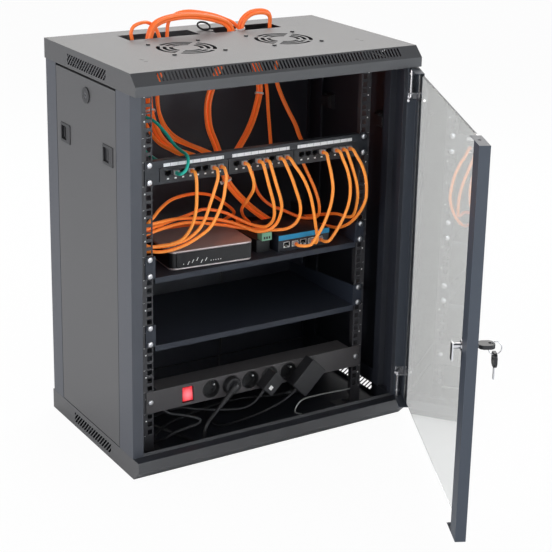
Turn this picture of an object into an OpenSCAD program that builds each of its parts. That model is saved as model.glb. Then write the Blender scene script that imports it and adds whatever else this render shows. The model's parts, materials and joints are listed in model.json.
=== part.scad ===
// Wall-standing 19 inch network cabinet: folded steel shell, glass door, roof fans,
// and the rack equipment, patch leads and power leads that it holds.
// The origin is on the floor at the centre of the footprint; the front faces -Y.

/* [Cabinet] */
// Overall width of the shell
cabinet_w = 600; // [570:5:760]
// Overall depth of the shell
cabinet_d = 385; // [375:5:600]
// Number of rack units between the base and the roof
rack_units = 15; // [13:1:24]
// Height of the base tray
base_h = 40; // [34:1:60]
// Height of the roof cap
cap_h = 38; // [34:1:60]
// Thickness of the shell's sheet steel
sheet = 1.5; // [1:0.1:2]
// Depth and height of the sloping front edge of base and roof
chamfer = 20; // [12:1:26]

/* [Side frames] */
// Distance from the front edge back to the face of the posts
setback = 22.5; // [22.5:0.5:30]
// Width of the front post's face
post_w = 22; // [18:1:30]
// Depth of the front post's return lip
post_lip = 12; // [8:1:16]
// Depth of each side strip beside the panel
side_strip = 54.5; // [46:0.5:70]
// Step inwards from the side strip to the panel's seat
seat_step = 14; // [13:1:18]
// Width of the seat behind the panel's edges
seat_w = 18; // [14:1:24]

/* [Side panels] */
// Gap between a side panel and the frame around it
panel_gap = 1.5; // [1:0.5:3]
// Width of a slide latch's raised surround
latch_w = 42; // [38:1:48]
// Height of a slide latch's raised surround
latch_h = 37; // [34:1:44]
// Travel of the latch tongue
latch_travel = 6; // [4:0.5:6]
// Diameter of the round lock's face
lock_face_d = 30; // [26:1:36]

/* [Vents] */
// Pitch of the narrow slots along the sloping front edge
front_slot_pitch = 7; // [6:0.5:10]
// Width of the narrow slots
front_slot_w = 3.4; // [2:0.2:4.4]
// Number of narrow slots
front_slots = 73; // [40:1:73]
// Pitch of the slanted side slots
side_slot_pitch = 10; // [8:0.5:14]
// Width of the slanted side slots
side_slot_w = 4.5; // [3:0.5:6]

/* [Fans] */
// Distance between the two fan axes
fan_spacing = 210; // [190:5:230]
// Distance from the front edge back to the fan axes
fan_setback = 182; // [175:1:190]
// Side of a square fan housing
fan_size = 120; // [120:1:126]
// Height of a fan housing
fan_depth = 25; // [22:1:38]
// Distance between neighbouring fan screws
fan_screw_pitch = 105; // [104:0.5:106]

/* [Door] */
// Angle at which the door stands open
door_angle = 64; // [0:1:150]
// Thickness of the door from its outer skin to its inner flange
door_t = 18.5; // [16:0.5:18.5]
// Width of the two upright door stiles
stile_w = 65; // [50:1:80]
// Thickness of the glass
glass_t = 4; // [3:0.5:5]
// Height of the lock above the floor
lock_z = 380; // [300:5:450]

/* [Rails] */
// Distance from the front edge back to the face of the rails
rail_setback = 86.2; // [80:0.1:110]
// Width of a rail's front face
rail_w = 22; // [20:1:24]
// Depth of a rail's side face
rail_depth = 40; // [30:1:60]
// Thickness of a rail
rail_t = 2; // [1.5:0.1:2.5]

/* [Equipment] */
// Rack unit that holds the patch panel, counted from the bottom
panel_unit = 12; // [10:1:13]
// Rack unit of the upper shelf
upper_shelf_unit = 8; // [7:1:9]
// Rack unit of the lower shelf
lower_shelf_unit = 5; // [4:1:6]
// Rack unit of the power strip
strip_unit = 2; // [2:1:3]
// Depth of the shelves behind the rails' face
shelf_depth = 240; // [200:5:260]
// Pitch of the power outlets
outlet_pitch = 43.4; // [42:0.1:46]
// Diameter of the round outlets
outlet_d = 36; // [34:0.5:38]

/* [Hidden] */
$fn = 48;

// A rack unit and the standard 19 inch widths
unit_h = 44.45;
ear_span = 482.6;
hole_span = 465.1;
hole_steps = [6.35, 22.225, 38.1];
square_hole = 9.5;

// Clearances
play = 0.3;
running = 0.05;

half_w = cabinet_w / 2;
unit_floor = base_h + 6;
cap_z = unit_floor + rack_units * unit_h + 7.25;
cabinet_h = cap_z + cap_h;
roof_z = cabinet_h - sheet;
back_y = cabinet_d - 6;
strip_end = setback + side_strip;
rear_strip = back_y - 45.5;
seat_x = half_w - seat_step;
lip_h = 6;
flange_w = 16;

// Door: local x runs along the closed door from the hinge, local y is depth, both from the pin
hinge_x = half_w - 12;
hinge_y = 13;
pin_d = 6;
door_z0 = base_h + 1.5;
door_z1 = cap_z - 2.5;
door_edge = 6.5;
door_free = hinge_x + half_w - 3;
skin_y = -12.5;
door_sheet = 1.2;
return_y = skin_y + door_t;
glass_z0 = base_h + 15;
glass_z1 = cap_z - 5;
lock_s = door_free - 28;
lock_r = 7.5;
lock_return = 36;

panel_y0 = strip_end + panel_gap;
panel_y1 = rear_strip - panel_gap;
panel_z0 = base_h + panel_gap;
panel_z1 = cap_z - 4;
panel_lock_y = 198;
panel_lock_z = cap_z - 35;
latch_ys = [panel_y0 + 32, panel_y1 - 39.5];
latch_z = cap_z - 126.5;
window_w = 22;
window_h = 26;
window_shift = 6;
tongue_gap = 0.5;
tongue_w = window_w - latch_travel - 2 * tongue_gap;

// A stretch from a to b, counted from a place
function span(from, a, b) = [from + a, from + b];
function unit_z(n) = unit_floor + (n - 1) * unit_h;

// ---- Cords ----

// A point a fraction t of the way along the stretch of a smooth curve that starts at point k
function curve_point(p, k, t) =
    let (a = p[max(k - 1, 0)], b = p[k], c = p[k + 1], d = p[min(k + 2, len(p) - 1)])
    (2 * b + (c - a) * t + (2 * a - 5 * b + 4 * c - d) * t * t + (3 * b - a - 3 * c + d) * t * t * t) / 2;

// Points along a route, about one every three diameters
function route_line(p, d) = concat(
    [for (k = [0:len(p) - 2])
        let (steps = max(1, round(norm(p[k + 1] - p[k]) / (3 * d))))
        for (i = [0:steps - 1]) curve_point(p, k, i / steps)],
    [p[len(p) - 1]]
);

function direction(line, i) = unit_vector(line[min(i + 1, len(line) - 1)] - line[max(i - 1, 0)]);
function square_to(v, t) = unit_vector(v - (v * t) * t);
function first_side(t) = square_to(abs(t[2]) < 0.8 ? [0, 0, 1] : [0, 1, 0], t);

// Tube of diameter d along a line of points, its rings carried on without twist
module swept(line, d, sides) {
    rings = [
        for (i = 0, side = first_side(direction(line, 0)); i < len(line);
            i = i + 1, side = i < len(line) ? square_to(side, direction(line, i)) : side)
            [side, cross(direction(line, i), side)]
    ];
    points = [for (i = [0:len(line) - 1], j = [0:sides - 1])
        line[i] + d / 2 * (rings[i][0] * cos(j * 360 / sides) + rings[i][1] * sin(j * 360 / sides))];
    walls = [for (i = [0:len(line) - 2], j = [0:sides - 1])
        let (k = (j + 1) % sides, a = i * sides, b = a + sides)
        each [[a + j, b + j, b + k], [a + j, b + k, a + k]]];
    near_cap = [for (j = [0:sides - 1]) j];
    far_cap = [for (j = [sides - 1:-1:0]) (len(line) - 1) * sides + j];
    polyhedron(points = points, faces = concat(walls, [near_cap, far_cap]));
}

module cord(route, d) {
    swept(route_line(route, d), d, 8);
}

// ---- Sheet metal helpers ----

function unit_vector(v) = v / norm(v);
function left_of(v) = [-v[1], v[0]];
function bend_point(a, b, c, t) =
    let (u = left_of(unit_vector(b - a)), v = left_of(unit_vector(c - b)), n = unit_vector(u + v))
    b + n * t / (n * u);
function inner_point(path, i, t) =
    i == 0 ? path[0] + left_of(unit_vector(path[1] - path[0])) * t :
    i == len(path) - 1 ? path[i] + left_of(unit_vector(path[i] - path[i - 1])) * t :
    bend_point(path[i - 1], path[i], path[i + 1], t);

// Section of a sheet bent along a path, with its thickness to the left of the path
module bent(path, t) {
    polygon(concat(path, [for (i = [len(path) - 1:-1:0]) inner_point(path, i, t)]));
}

// Turns the front edge of the shell, where y is 0, into the centred frame
module at_front() {
    translate([0, -cabinet_d / 2, 0]) children();
}

// Extrudes a drawing of the y-z plane along x
module along_x(x0, length) {
    translate([x0, 0, 0]) rotate([90, 0, 90]) linear_extrude(length) children();
}

module on_both_sides() {
    children();
    mirror([1, 0, 0]) children();
}

module box(x, y, z) {
    translate([x[0], y[0], z[0]]) cube([x[1] - x[0], y[1] - y[0], z[1] - z[0]]);
}

module rounded_square(w, h, r) {
    square([w - 2 * r, h], center = true);
    square([w, h - 2 * r], center = true);
    for (x = [-1, 1], z = [-1, 1]) translate([x * (w / 2 - r), z * (h / 2 - r)]) circle(r);
}

// ---- Shell ----

// Folded front, bottom and back of the base, standing the right way up
module tray_sheet(h) {
    path = [
        [setback + sheet, h], [0, h], [0, chamfer], [chamfer, 0],
        [cabinet_d, 0], [cabinet_d, h], [cabinet_d - flange_w, h]
    ];
    along_x(-half_w, cabinet_w) bent(path, sheet);
    lip_x = half_w - post_w;
    box([-lip_x, lip_x], [setback, setback + sheet], [h - sheet, h + lip_h]);
}

module tray_sides(h) {
    outline = [[0, chamfer], [chamfer, 0], [cabinet_d, 0], [cabinet_d, h], [0, h]];
    on_both_sides() {
        along_x(half_w - sheet, sheet) polygon(outline);
        box([half_w - flange_w, half_w], [0, cabinet_d], [h - sheet, h]);
    }
}

// Slanted slots, trimmed to a rectangle from y0 to y1 and z0 to z1
module slanted_slots(y0, y1, z0, z1) {
    rise = z1 - z0;
    count = floor((y1 - y0 + rise) / side_slot_pitch);
    intersection() {
        translate([y0, z0]) square([y1 - y0, rise]);
        for (i = [0:count]) translate([y0 + i * side_slot_pitch, z0 + rise / 2]) rotate(45)
            square([side_slot_w, rise * 2], center = true);
    }
}

module side_vent_cuts(z0, z1) {
    along_x(-half_w - 1, cabinet_w + 2) slanted_slots(116, cabinet_d - 105, z0, z1);
}

// Narrow slots square to the sloping edge, for a cap whose top is at z
module front_vent_cuts(z) {
    top = [chamfer * 0.89, z - chamfer * 0.11];
    low = [chamfer * 0.24, z - chamfer * 0.76];
    out = [-3, 3];
    first = -(front_slots - 1) / 2 * front_slot_pitch;
    for (i = [0:front_slots - 1])
        along_x(first + i * front_slot_pitch, front_slot_w)
            polygon([top + out, low + out, low - out, top - out]);
}

module base_tray() {
    color("dimgray") at_front() difference() {
        union() {
            tray_sheet(base_h);
            tray_sides(base_h);
        }
        side_vent_cuts(10, base_h - 10);
        hinge_hole(base_h - sheet - 1, sheet + 2);
        for (x = [-1, 1], y = floor_bolt_ys)
            translate([x * floor_bolt_x, y, -1]) cylinder(r = bolt_r + play, h = sheet + 2);
    }
}

module hinge_hole(z, h) {
    translate([hinge_x, hinge_y, z]) cylinder(d = pin_d + 2 * running, h = h);
}

guard_rings = [[49, 56], [37, 44], [25, 32]];
guard_spoke = 10;

// Ring slots of a fan guard, left open between four diagonal spokes
module guard_slots() {
    difference() {
        for (ring = guard_rings) difference() {
            circle(ring[1]);
            circle(ring[0]);
        }
        for (a = [45, 135]) rotate(a) square([130, guard_spoke], center = true);
    }
}

module fan_places() {
    for (x = [-1, 1]) translate([x * fan_spacing / 2, fan_setback, 0]) children();
}

module fan_screw_places() {
    fan_places() for (x = [-1, 1], y = [-1, 1])
        translate([x * fan_screw_pitch / 2, y * fan_screw_pitch / 2, 0]) children();
}

// Cable entries: two slots side by side at the rear of the roof
entry_x = [17, 168];
entry_y = [cabinet_d - 94, cabinet_d - 43];

module top_cap() {
    color("gray") at_front() difference() {
        union() {
            translate([0, 0, cabinet_h]) mirror([0, 0, 1]) tray_sheet(cap_h);
            translate([0, 0, cabinet_h]) mirror([0, 0, 1]) tray_sides(cap_h);
        }
        side_vent_cuts(cap_z + 6.5, cabinet_h - 12);
        front_vent_cuts(cabinet_h);
        hinge_hole(cap_z - 1, sheet + 2);
        on_both_sides() box(entry_x, entry_y, [roof_z - 1, cabinet_h + 1]);
        translate([0, 0, roof_z - 1]) fan_places() linear_extrude(sheet + 2) guard_slots();
        translate([0, 0, roof_z - 1]) fan_screw_places() cylinder(r = fan_screw_r + play, h = sheet + 2);
        for (x = [-1, 1], y = floor_bolt_ys)
            translate([x * floor_bolt_x, y, roof_z - 1]) cylinder(r = bolt_r + play, h = sheet + 2);
    }
}

// One side frame, built for the right-hand side and mirrored for the left
module side_frame() {
    front_post = [
        [half_w - post_w, setback + post_lip], [half_w - post_w, setback], [half_w, setback],
        [half_w, strip_end], [seat_x, strip_end], [seat_x, strip_end + seat_w]
    ];
    rear_post = [
        [seat_x, rear_strip - seat_w], [seat_x, rear_strip], [half_w, rear_strip],
        [half_w, back_y], [half_w - 30, back_y]
    ];
    translate([0, 0, base_h]) linear_extrude(cap_z - base_h) {
        bent(front_post, sheet);
        bent(rear_post, sheet);
    }
    box([seat_x - sheet, seat_x], [strip_end, rear_strip], [base_h, base_h + 30]);
    box([seat_x - sheet, seat_x], [strip_end, rear_strip], [cap_z - 24, cap_z]);
}

module side_frame_right() {
    color("slategray") at_front() side_frame();
}

module side_frame_left() {
    color("slategray") at_front() mirror([1, 0, 0]) side_frame();
}

wall_hole_x = 215;
wall_hole_r = 5;
wall_hole_zs = [base_h + 80, cap_z - 80];

// Rear sheet, held against the rear posts' flanges, with stiffening edges and wall-fixing holes
module rear_panel() {
    w = half_w - 10;
    y = back_y - sheet;
    color("darkslategray") at_front() difference() {
        union() {
            box([-w, w], [y - sheet, y], [base_h, cap_z]);
            on_both_sides() box([w - sheet, w], [y - 10, y], [base_h, cap_z]);
        }
        for (x = [-1, 1], z = wall_hole_zs)
            translate([x * wall_hole_x, y + 1, z]) rotate([90, 0, 0]) cylinder(r = wall_hole_r, h = 5);
    }
}

// ---- Side panels ----

panel_return = seat_step - play;

module latch_window_at(y, x0, x1, extra) {
    box(
        [x0, x1],
        [y + window_shift - window_w / 2 - extra, y + window_shift + window_w / 2 + extra],
        [latch_z - window_h / 2 - extra, latch_z + window_h / 2 + extra]
    );
}

module side_panel() {
    difference() {
        box([half_w - panel_return, half_w], [panel_y0, panel_y1], [panel_z0, panel_z1]);
        box(
            [half_w - panel_return - 1, half_w - sheet],
            [panel_y0 + sheet, panel_y1 - sheet],
            [panel_z0 + sheet, panel_z1 - sheet]
        );
        for (y = latch_ys) latch_window_at(y, half_w - 3, half_w + 1, 2);
        translate([half_w - 3, panel_lock_y, panel_lock_z]) rotate([0, 90, 0]) cylinder(r = 9 + play, h = 5);
    }
}

module side_panel_right() {
    color("dimgray") at_front() side_panel();
}

module side_panel_left() {
    color("dimgray") at_front() mirror([1, 0, 0]) side_panel();
}

// A latch surround stands proud of the panel; its sleeve passes through to the inside
module latch_housing(y) {
    wall = 2 - play;
    difference() {
        union() {
            along_x(half_w, 1.6) translate([y, latch_z]) rounded_square(latch_w, latch_h, 3);
            latch_window_at(y, half_w - 12, half_w + 0.5, wall);
        }
        latch_window_at(y, half_w - 13, half_w + 3, 0);
    }
}

module panel_lock_housing() {
    translate([0, panel_lock_y, panel_lock_z]) rotate([0, 90, 0]) difference() {
        union() {
            translate([0, 0, half_w]) cylinder(d = lock_face_d, h = 2.5);
            translate([0, 0, seat_x + play]) cylinder(r = 9, h = seat_step);
        }
        cylinder(r = 6 + running, h = half_w + 5);
    }
}

module panel_fittings() {
    for (y = latch_ys) latch_housing(y);
    panel_lock_housing();
}

module panel_fittings_right() {
    color("black") at_front() panel_fittings();
}

module panel_fittings_left() {
    color("black") at_front() mirror([1, 0, 0]) panel_fittings();
}

// Turning core of a panel lock: slotted face and a cam that lies behind the frame's top bar
module panel_lock() {
    cam_x = seat_x - sheet - 3;
    translate([0, panel_lock_y, panel_lock_z]) {
        difference() {
            translate([cam_x, 0, 0]) rotate([0, 90, 0]) cylinder(r = 6, h = half_w + 2 - cam_x);
            box([half_w + 0.5, half_w + 3], [-4, 4], [-0.8, 0.8]);
        }
        box([cam_x, cam_x + 2], [-6, 24], [-6, 6]);
    }
}

module panel_lock_right() {
    color("silver") at_front() panel_lock();
}

module panel_lock_left() {
    color("silver") at_front() mirror([1, 0, 0]) panel_lock();
}

// Sliding latch: a ribbed thumb block in the window and a tongue behind the frame's seat
module slide_latch(end) {
    y = latch_ys[end] + window_shift;
    toward = end == 0 ? -1 : 1;
    near = window_w / 2 - play;
    side = [-toward * near, toward * (tongue_w - near)];
    tip = end == 0 ? strip_end + seat_w + play : rear_strip - seat_w - play;
    plate_x = seat_x - sheet - play;
    z = latch_z;
    half_h = window_h / 2 - play;
    box([plate_x, half_w - 3], span(y, min(side), max(side)), span(z, -half_h, half_h));
    box([half_w - 3, half_w - 1], span(y + side[1], toward < 0 ? 0 : -2, toward < 0 ? 2 : 0), span(z, -9, 9));
    box([plate_x - 1.5, plate_x], [min(tip, y + side[0]), max(tip, y + side[0])], span(z, -10, 10));
}

module latch_right_front() {
    color("black") at_front() slide_latch(0);
}

module latch_right_rear() {
    color("black") at_front() slide_latch(1);
}

module latch_left_front() {
    color("black") at_front() mirror([1, 0, 0]) slide_latch(0);
}

module latch_left_rear() {
    color("black") at_front() mirror([1, 0, 0]) slide_latch(1);
}

// ---- Rails ----

rail_x = ear_span / 2 + 5.7;
rail_z0 = 12;
rail_z1 = cabinet_h - 12;
bolt_r = 3;
bracket_t = 2.5;
bracket_y = [rail_setback + 6, rail_setback + 38];
bracket_reach = 46;
side_bolt_y = rail_setback + 22;
side_bolt_rises = [14, 34];
floor_bolt_x = rail_x - 17;
floor_bolt_ys = [rail_setback + 14, rail_setback + 30];

module rail() {
    difference() {
        translate([0, 0, rail_z0]) linear_extrude(rail_z1 - rail_z0) bent([
            [rail_x - rail_w, rail_setback], [rail_x, rail_setback], [rail_x, rail_setback + rail_depth]
        ], rail_t);
        for (n = [1:rack_units], step = hole_steps)
            translate([hole_span / 2, rail_setback + 1, unit_z(n) + step])
                cube([square_hole, 10, square_hole], center = true);
        for (z = bracket_bolt_zs) translate([rail_x - 5, side_bolt_y, z]) rotate([0, 90, 0])
            cylinder(r = bolt_r + play, h = 10);
    }
}

bracket_bolt_zs = concat(
    [for (rise = side_bolt_rises) rail_z0 + rise],
    [for (rise = side_bolt_rises) rail_z1 - rise]
);

module rail_right() {
    color("slategray") at_front() rail();
}

module rail_left() {
    color("slategray") at_front() mirror([1, 0, 0]) rail();
}

// Angle bracket between a rail's side face and the floor or the roof sheet
module rail_bracket() {
    difference() {
        union() {
            box([rail_x, rail_x + bracket_t], bracket_y, [sheet, rail_z0 + 44]);
            box([rail_x - bracket_reach, rail_x + bracket_t], bracket_y, [sheet, sheet + bracket_t]);
        }
        for (rise = side_bolt_rises) translate([rail_x - 1, side_bolt_y, rail_z0 + rise])
            rotate([0, 90, 0]) cylinder(r = bolt_r + play, h = 5);
        for (y = floor_bolt_ys) translate([floor_bolt_x, y, 0]) cylinder(r = bolt_r + play, h = 6);
    }
}

// Copies what is drawn at the right foot to all four ends of the rails
module at_rail_ends() {
    on_both_sides() {
        children();
        translate([0, 0, cabinet_h]) mirror([0, 0, 1]) children();
    }
}

module rail_brackets() {
    color("darkslategray") at_front() at_rail_ends() rail_bracket();
}

module bracket_bolts() {
    color("silver") at_front() at_rail_ends() {
        for (rise = side_bolt_rises) translate([rail_x, side_bolt_y, rail_z0 + rise]) rotate([0, 90, 0]) {
            translate([0, 0, -rail_t - 5]) cylinder(r = bolt_r, h = rail_t + 5 + bracket_t);
            translate([0, 0, bracket_t]) cylinder(r = 5.5, h = 4, $fn = 6);
            translate([0, 0, -rail_t - 4.5]) cylinder(r = 5.5, h = 4.5, $fn = 6);
        }
        for (y = floor_bolt_ys) translate([floor_bolt_x, y, 0]) {
            translate([0, 0, 0.3]) cylinder(r = bolt_r, h = sheet + bracket_t);
            translate([0, 0, sheet + bracket_t]) cylinder(r = 5.5, h = 3.5);
        }
    }
}

// ---- Roof fans ----

fan_bore_r = 57;
fan_screw_r = 2;
fan_low = roof_z - fan_depth;
fan_base_h = 4;
fan_shaft_r = 3;

module fan_housing() {
    difference() {
        union() {
            difference() {
                linear_extrude(fan_depth) rounded_square(fan_size, fan_size, 6);
                translate([0, 0, -1]) cylinder(r = fan_bore_r, h = fan_depth + 2, $fn = 96);
            }
            cylinder(r = 20, h = fan_base_h);
            for (a = [20, 110, 200, 290]) rotate(a) box([0, fan_bore_r + 1], [-3, 3], [0, fan_base_h]);
        }
        translate([0, 0, -1]) cylinder(r = fan_shaft_r + running, h = fan_base_h + 2);
        for (x = [-1, 1], y = [-1, 1]) translate([x * fan_screw_pitch / 2, y * fan_screw_pitch / 2, -1])
            cylinder(r = fan_screw_r + running, h = fan_depth + 2);
    }
}

module fan_housings() {
    color("black") at_front() translate([0, 0, fan_low]) fan_places() fan_housing();
}

// Hub, shaft and seven tilted blades
module fan_rotor() {
    translate([0, 0, 0.3]) cylinder(r = fan_shaft_r, h = fan_base_h + 2);
    translate([0, 0, fan_base_h + 0.5]) cylinder(r = 19, h = fan_depth - fan_base_h - 4);
    for (i = [0:6]) rotate(i * 360 / 7) translate([17, 0, fan_depth / 2 + 1.5]) rotate([35, 0, 0])
        translate([0, -11, -0.8]) cube([38, 22, 1.6]);
}

module fan_rotor_at(side) {
    color("black") at_front() translate([side * fan_spacing / 2, fan_setback, fan_low]) fan_rotor();
}

module fan_rotor_left() {
    fan_rotor_at(-1);
}

module fan_rotor_right() {
    fan_rotor_at(1);
}

module fan_screws() {
    color("black") at_front() translate([0, 0, fan_low + 2]) fan_screw_places() {
        cylinder(r = fan_screw_r, h = cabinet_h - fan_low - 2);
        translate([0, 0, cabinet_h - fan_low - 2]) cylinder(r = 4, h = 2.5);
    }
}

// ---- Door ----

// Places what is drawn on the closed door, from its hinge pin, at the angle it stands open
module in_door() {
    at_front() translate([hinge_x, hinge_y, 0]) rotate(door_angle) children();
}

module stile_plates(x0, x1) {
    for (z = [door_z0, door_z1 - door_sheet]) box([x0, x1], [skin_y, return_y], [z, z + door_sheet]);
}

hinge_stile_x = [door_edge - stile_w, door_edge];
lock_stile_x = [-door_free, -door_free + stile_w];

// Hinge stile: outer skin with a wall at the hinge edge, open to the inside
module hinge_stile() {
    section = [[hinge_stile_x[0], skin_y], [door_edge, skin_y], [door_edge, return_y]];
    color("slategray") in_door() difference() {
        union() {
            translate([0, 0, door_z0]) linear_extrude(door_z1 - door_z0) bent(section, door_sheet);
            stile_plates(hinge_stile_x[0], hinge_stile_x[1]);
        }
        translate([0, 0, door_z0 - 1]) cylinder(d = pin_d + 2 * running, h = door_z1 - door_z0 + 2);
    }
}

// Lock stile: outer skin, edge wall and inner return, closed by plates at both ends
module lock_stile() {
    section = [
        [-door_free + lock_return, return_y], [-door_free, return_y],
        [-door_free, skin_y], [lock_stile_x[1], skin_y]
    ];
    color("slategray") in_door() difference() {
        union() {
            translate([0, 0, door_z0]) linear_extrude(door_z1 - door_z0) bent(section, door_sheet);
            stile_plates(lock_stile_x[0], lock_stile_x[1]);
        }
        translate([-lock_s, return_y + 1, lock_z]) rotate([90, 0, 0])
            cylinder(r = lock_r + play, h = door_t + 2);
        translate([-door_free + lock_return, skin_y + 10, door_z1 - 3]) cylinder(r = 3, h = 5);
    }
}

tape_t = 0.8;
glass_lap = 18;
glass_y = skin_y + door_sheet + tape_t;
glass_x = [lock_stile_x[1] - glass_lap, hinge_stile_x[0] + glass_lap];

module door_glass() {
    color([0.7, 0.75, 0.75, 0.4]) in_door() box(glass_x, span(glass_y, 0, glass_t), [glass_z0, glass_z1]);
}

// Bonding tape between the stiles' skins and the glass
module glass_tape() {
    w = glass_lap - 2;
    color("black") in_door() {
        for (x = [glass_x[0], glass_x[1] - w])
            box([x, x + w], span(glass_y, -tape_t, 0), [glass_z0, glass_z1]);
    }
}

pin_reach = 10.5;
pin_collar_h = 3;
guide_drop = 50;
guide_t = 2.5;
collar_drop = 14;
handle_drop = 60;
handle_end = [-22, 9];

// Copies what is drawn at the top of the door to its foot
module at_foot() {
    translate([0, 0, door_z0 + door_z1]) mirror([0, 0, 1]) children();
}

// Spring pin on the hinge axis, with a collar for its spring and a bent handle
module hinge_pin() {
    r = pin_d / 2;
    angle = atan2(handle_end[1], handle_end[0]);
    translate([0, 0, door_z1 - handle_drop - r]) cylinder(r = r, h = handle_drop + r + pin_reach);
    translate([0, 0, door_z1 - collar_drop]) cylinder(r = 5, h = pin_collar_h);
    translate([0, 0, door_z1 - handle_drop]) rotate(angle) rotate([0, 90, 0])
        cylinder(r = 2.5, h = norm(handle_end));
}

module hinge_pin_top() {
    color("silver") in_door() hinge_pin();
}

module hinge_pin_bottom() {
    color("silver") in_door() at_foot() hinge_pin();
}

module pin_guide() {
    z = door_z1 - guide_drop;
    inner = door_edge - door_sheet;
    difference() {
        union() {
            box([-9, inner], [skin_y + door_sheet, 5], [z, z + guide_t]);
            box([inner - 1.5, inner], [skin_y + door_sheet, 5], [z - 12, z]);
        }
        translate([0, 0, z - 1]) cylinder(d = pin_d + 2 * running, h = guide_t + 2);
    }
}

module pin_guides() {
    color("dimgray") in_door() {
        pin_guide();
        at_foot() pin_guide();
    }
}

spring_wire = 1.2;
spring_r = 4.4;
spring_turns = 6;
spring_z0 = door_z1 - guide_drop + guide_t + spring_wire / 2;
spring_z1 = door_z1 - collar_drop - spring_wire / 2;

module hinge_spring() {
    steps = spring_turns * 10;
    line = [for (i = [0:steps]) let (a = i * 36, z = spring_z0 + (spring_z1 - spring_z0) * i / steps)
        [spring_r * cos(a), spring_r * sin(a), z]];
    swept(line, spring_wire, 8);
}

module hinge_spring_top() {
    color("silver") in_door() hinge_spring();
}

module hinge_spring_bottom() {
    color("silver") in_door() at_foot() hinge_spring();
}

// ---- Door lock ----

// Places what is drawn round the lock's axis, with z pointing out of the door
module at_lock() {
    in_door() translate([-lock_s, 0, lock_z]) rotate([90, 0, 0]) children();
}

lock_core_r = 5;
barrel_in = -9;
lock_face = -skin_y + 3;
cam_in = -24.5;

module lock_body() {
    color("silver") at_lock() difference() {
        union() {
            translate([0, 0, -skin_y]) cylinder(r = 11, h = 3);
            translate([0, 0, barrel_in]) cylinder(r = lock_r, h = lock_face - barrel_in);
            translate([0, 0, barrel_in]) cylinder(r = 10, h = -return_y - barrel_in, $fn = 6);
        }
        translate([0, 0, barrel_in - 1]) cylinder(r = lock_core_r + running, h = lock_face + 12);
    }
}

// Turning core with the keyway, and the cam that hooks behind the post
module lock_core() {
    color("gray") at_lock() {
        difference() {
            translate([0, 0, cam_in]) cylinder(r = lock_core_r, h = lock_face - cam_in);
            box([-3.7, 3.7], [-1.1, 1.1], [lock_face - 9, lock_face + 1]);
        }
        box([-6, 6], [-24, 6], [cam_in, cam_in + 2.5]);
    }
}

key_t = 7;
key_out = [19, 46];
key_w = 24;
key_hole = [key_out[1] - 7, 3.5];
ring_r = 11;
ring_wire = 0.9;
ring_at = [-5.5, key_out[1] + 1.5];

module door_key() {
    color("black") at_lock() {
        difference() {
            translate([0, key_t / 2, (key_out[0] + key_out[1]) / 2]) rotate([90, 0, 0])
                linear_extrude(key_t) rounded_square(key_w, key_out[1] - key_out[0], 7);
            translate([0, 5, key_hole[0]]) rotate([90, 0, 0]) cylinder(r = key_hole[1], h = 10);
        }
        box([-3.5, 3.5], [-1, 1], [lock_face - 8, key_out[0] + 2]);
    }
}

module key_ring() {
    color("silver") at_lock() translate([0, ring_at[0], ring_at[1]]) rotate([0, 90, 0])
        rotate_extrude() translate([ring_r, 0]) circle(ring_wire, $fn = 20);
}

spare_pivot = ring_at[0] - ring_r;
spare_hole_r = 2.5;
spare_t = 5;

// Spare key hanging from the ring, its head crosswise to the ring
module spare_key() {
    hole = spare_pivot - 1.1;
    color("black") at_lock() translate([0, 0, ring_at[1] - spare_t / 2]) {
        difference() {
            translate([0, hole - 7.5]) linear_extrude(spare_t) rounded_square(23, 25, 7);
            translate([0, hole, -1]) cylinder(r = spare_hole_r, h = spare_t + 2);
        }
        box([-3.5, 3.5], [hole - 42, hole - 18], [spare_t / 2 - 1, spare_t / 2 + 1]);
    }
}

// ---- Rack equipment ----

ear_y = rail_setback - 2;
ear_x = ear_span / 2;
rail_gap_x = rail_x - rail_w - 3;
ear_hole_r = 3.3;

module ear_holes(zs) {
    for (x = [-1, 1], z = zs) translate([x * hole_span / 2, rail_setback + 1, z]) rotate([90, 0, 0])
        cylinder(r = ear_hole_r, h = 5);
}

patch_z = unit_z(panel_unit);
module_pitch = 142;
module_w = 140;
module_z = [patch_z + 4.6, patch_z + 30.6];
port_pitch = 15.3;
port_count = 8;
port_w = 12;
port_z = [patch_z + 14.6, patch_z + 24.6];
module_face = ear_y - 1.5;

module module_places() {
    for (i = [-1:1]) translate([i * module_pitch, 0, 0]) children();
}

// Patch panel: folded front with three windows and ears
module patch_panel() {
    z = span(patch_z, play, unit_h - play);
    color("black") at_front() difference() {
        union() {
            box([-ear_x, ear_x], [ear_y, rail_setback], z);
            for (edge = [z[0], z[1] - sheet]) box(
                [-rail_gap_x, rail_gap_x], [ear_y, rail_setback + 12], [edge, edge + sheet]
            );
        }
        module_places() box(
            [-module_w / 2 - play, module_w / 2 + play], [ear_y - 1, rail_setback + 1],
            [module_z[0] - play, module_z[1] + play]
        );
        ear_holes([patch_z + hole_steps[0], patch_z + hole_steps[2]]);
    }
}

// Jack modules, each with a row of ports open to the front
module jack_modules() {
    first = -(port_count - 1) / 2 * port_pitch;
    color("darkslategray") at_front() module_places() difference() {
        box([-module_w / 2, module_w / 2], [module_face, rail_setback + 28], module_z);
        for (i = [0:port_count - 1]) translate([first + i * port_pitch, 0, 0])
            box([-port_w / 2, port_w / 2], [module_face - 1, module_face + 15], port_z);
    }
}

label_w = 124;
label_h = 6.4;

module label_strips() {
    color("white") at_front() module_places()
        box([-label_w / 2, label_w / 2], [ear_y - 0.8, ear_y], span(patch_z, 32, 32 + label_h));
}

// Heights of every rack screw, one list for each piece of equipment
screw_zs = [
    patch_z + hole_steps[0], patch_z + hole_steps[2],
    unit_z(upper_shelf_unit) + hole_steps[0], unit_z(upper_shelf_unit) + hole_steps[2],
    unit_z(lower_shelf_unit) + hole_steps[0], unit_z(lower_shelf_unit) + hole_steps[2],
    unit_z(strip_unit) + hole_steps[1]
];

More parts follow.
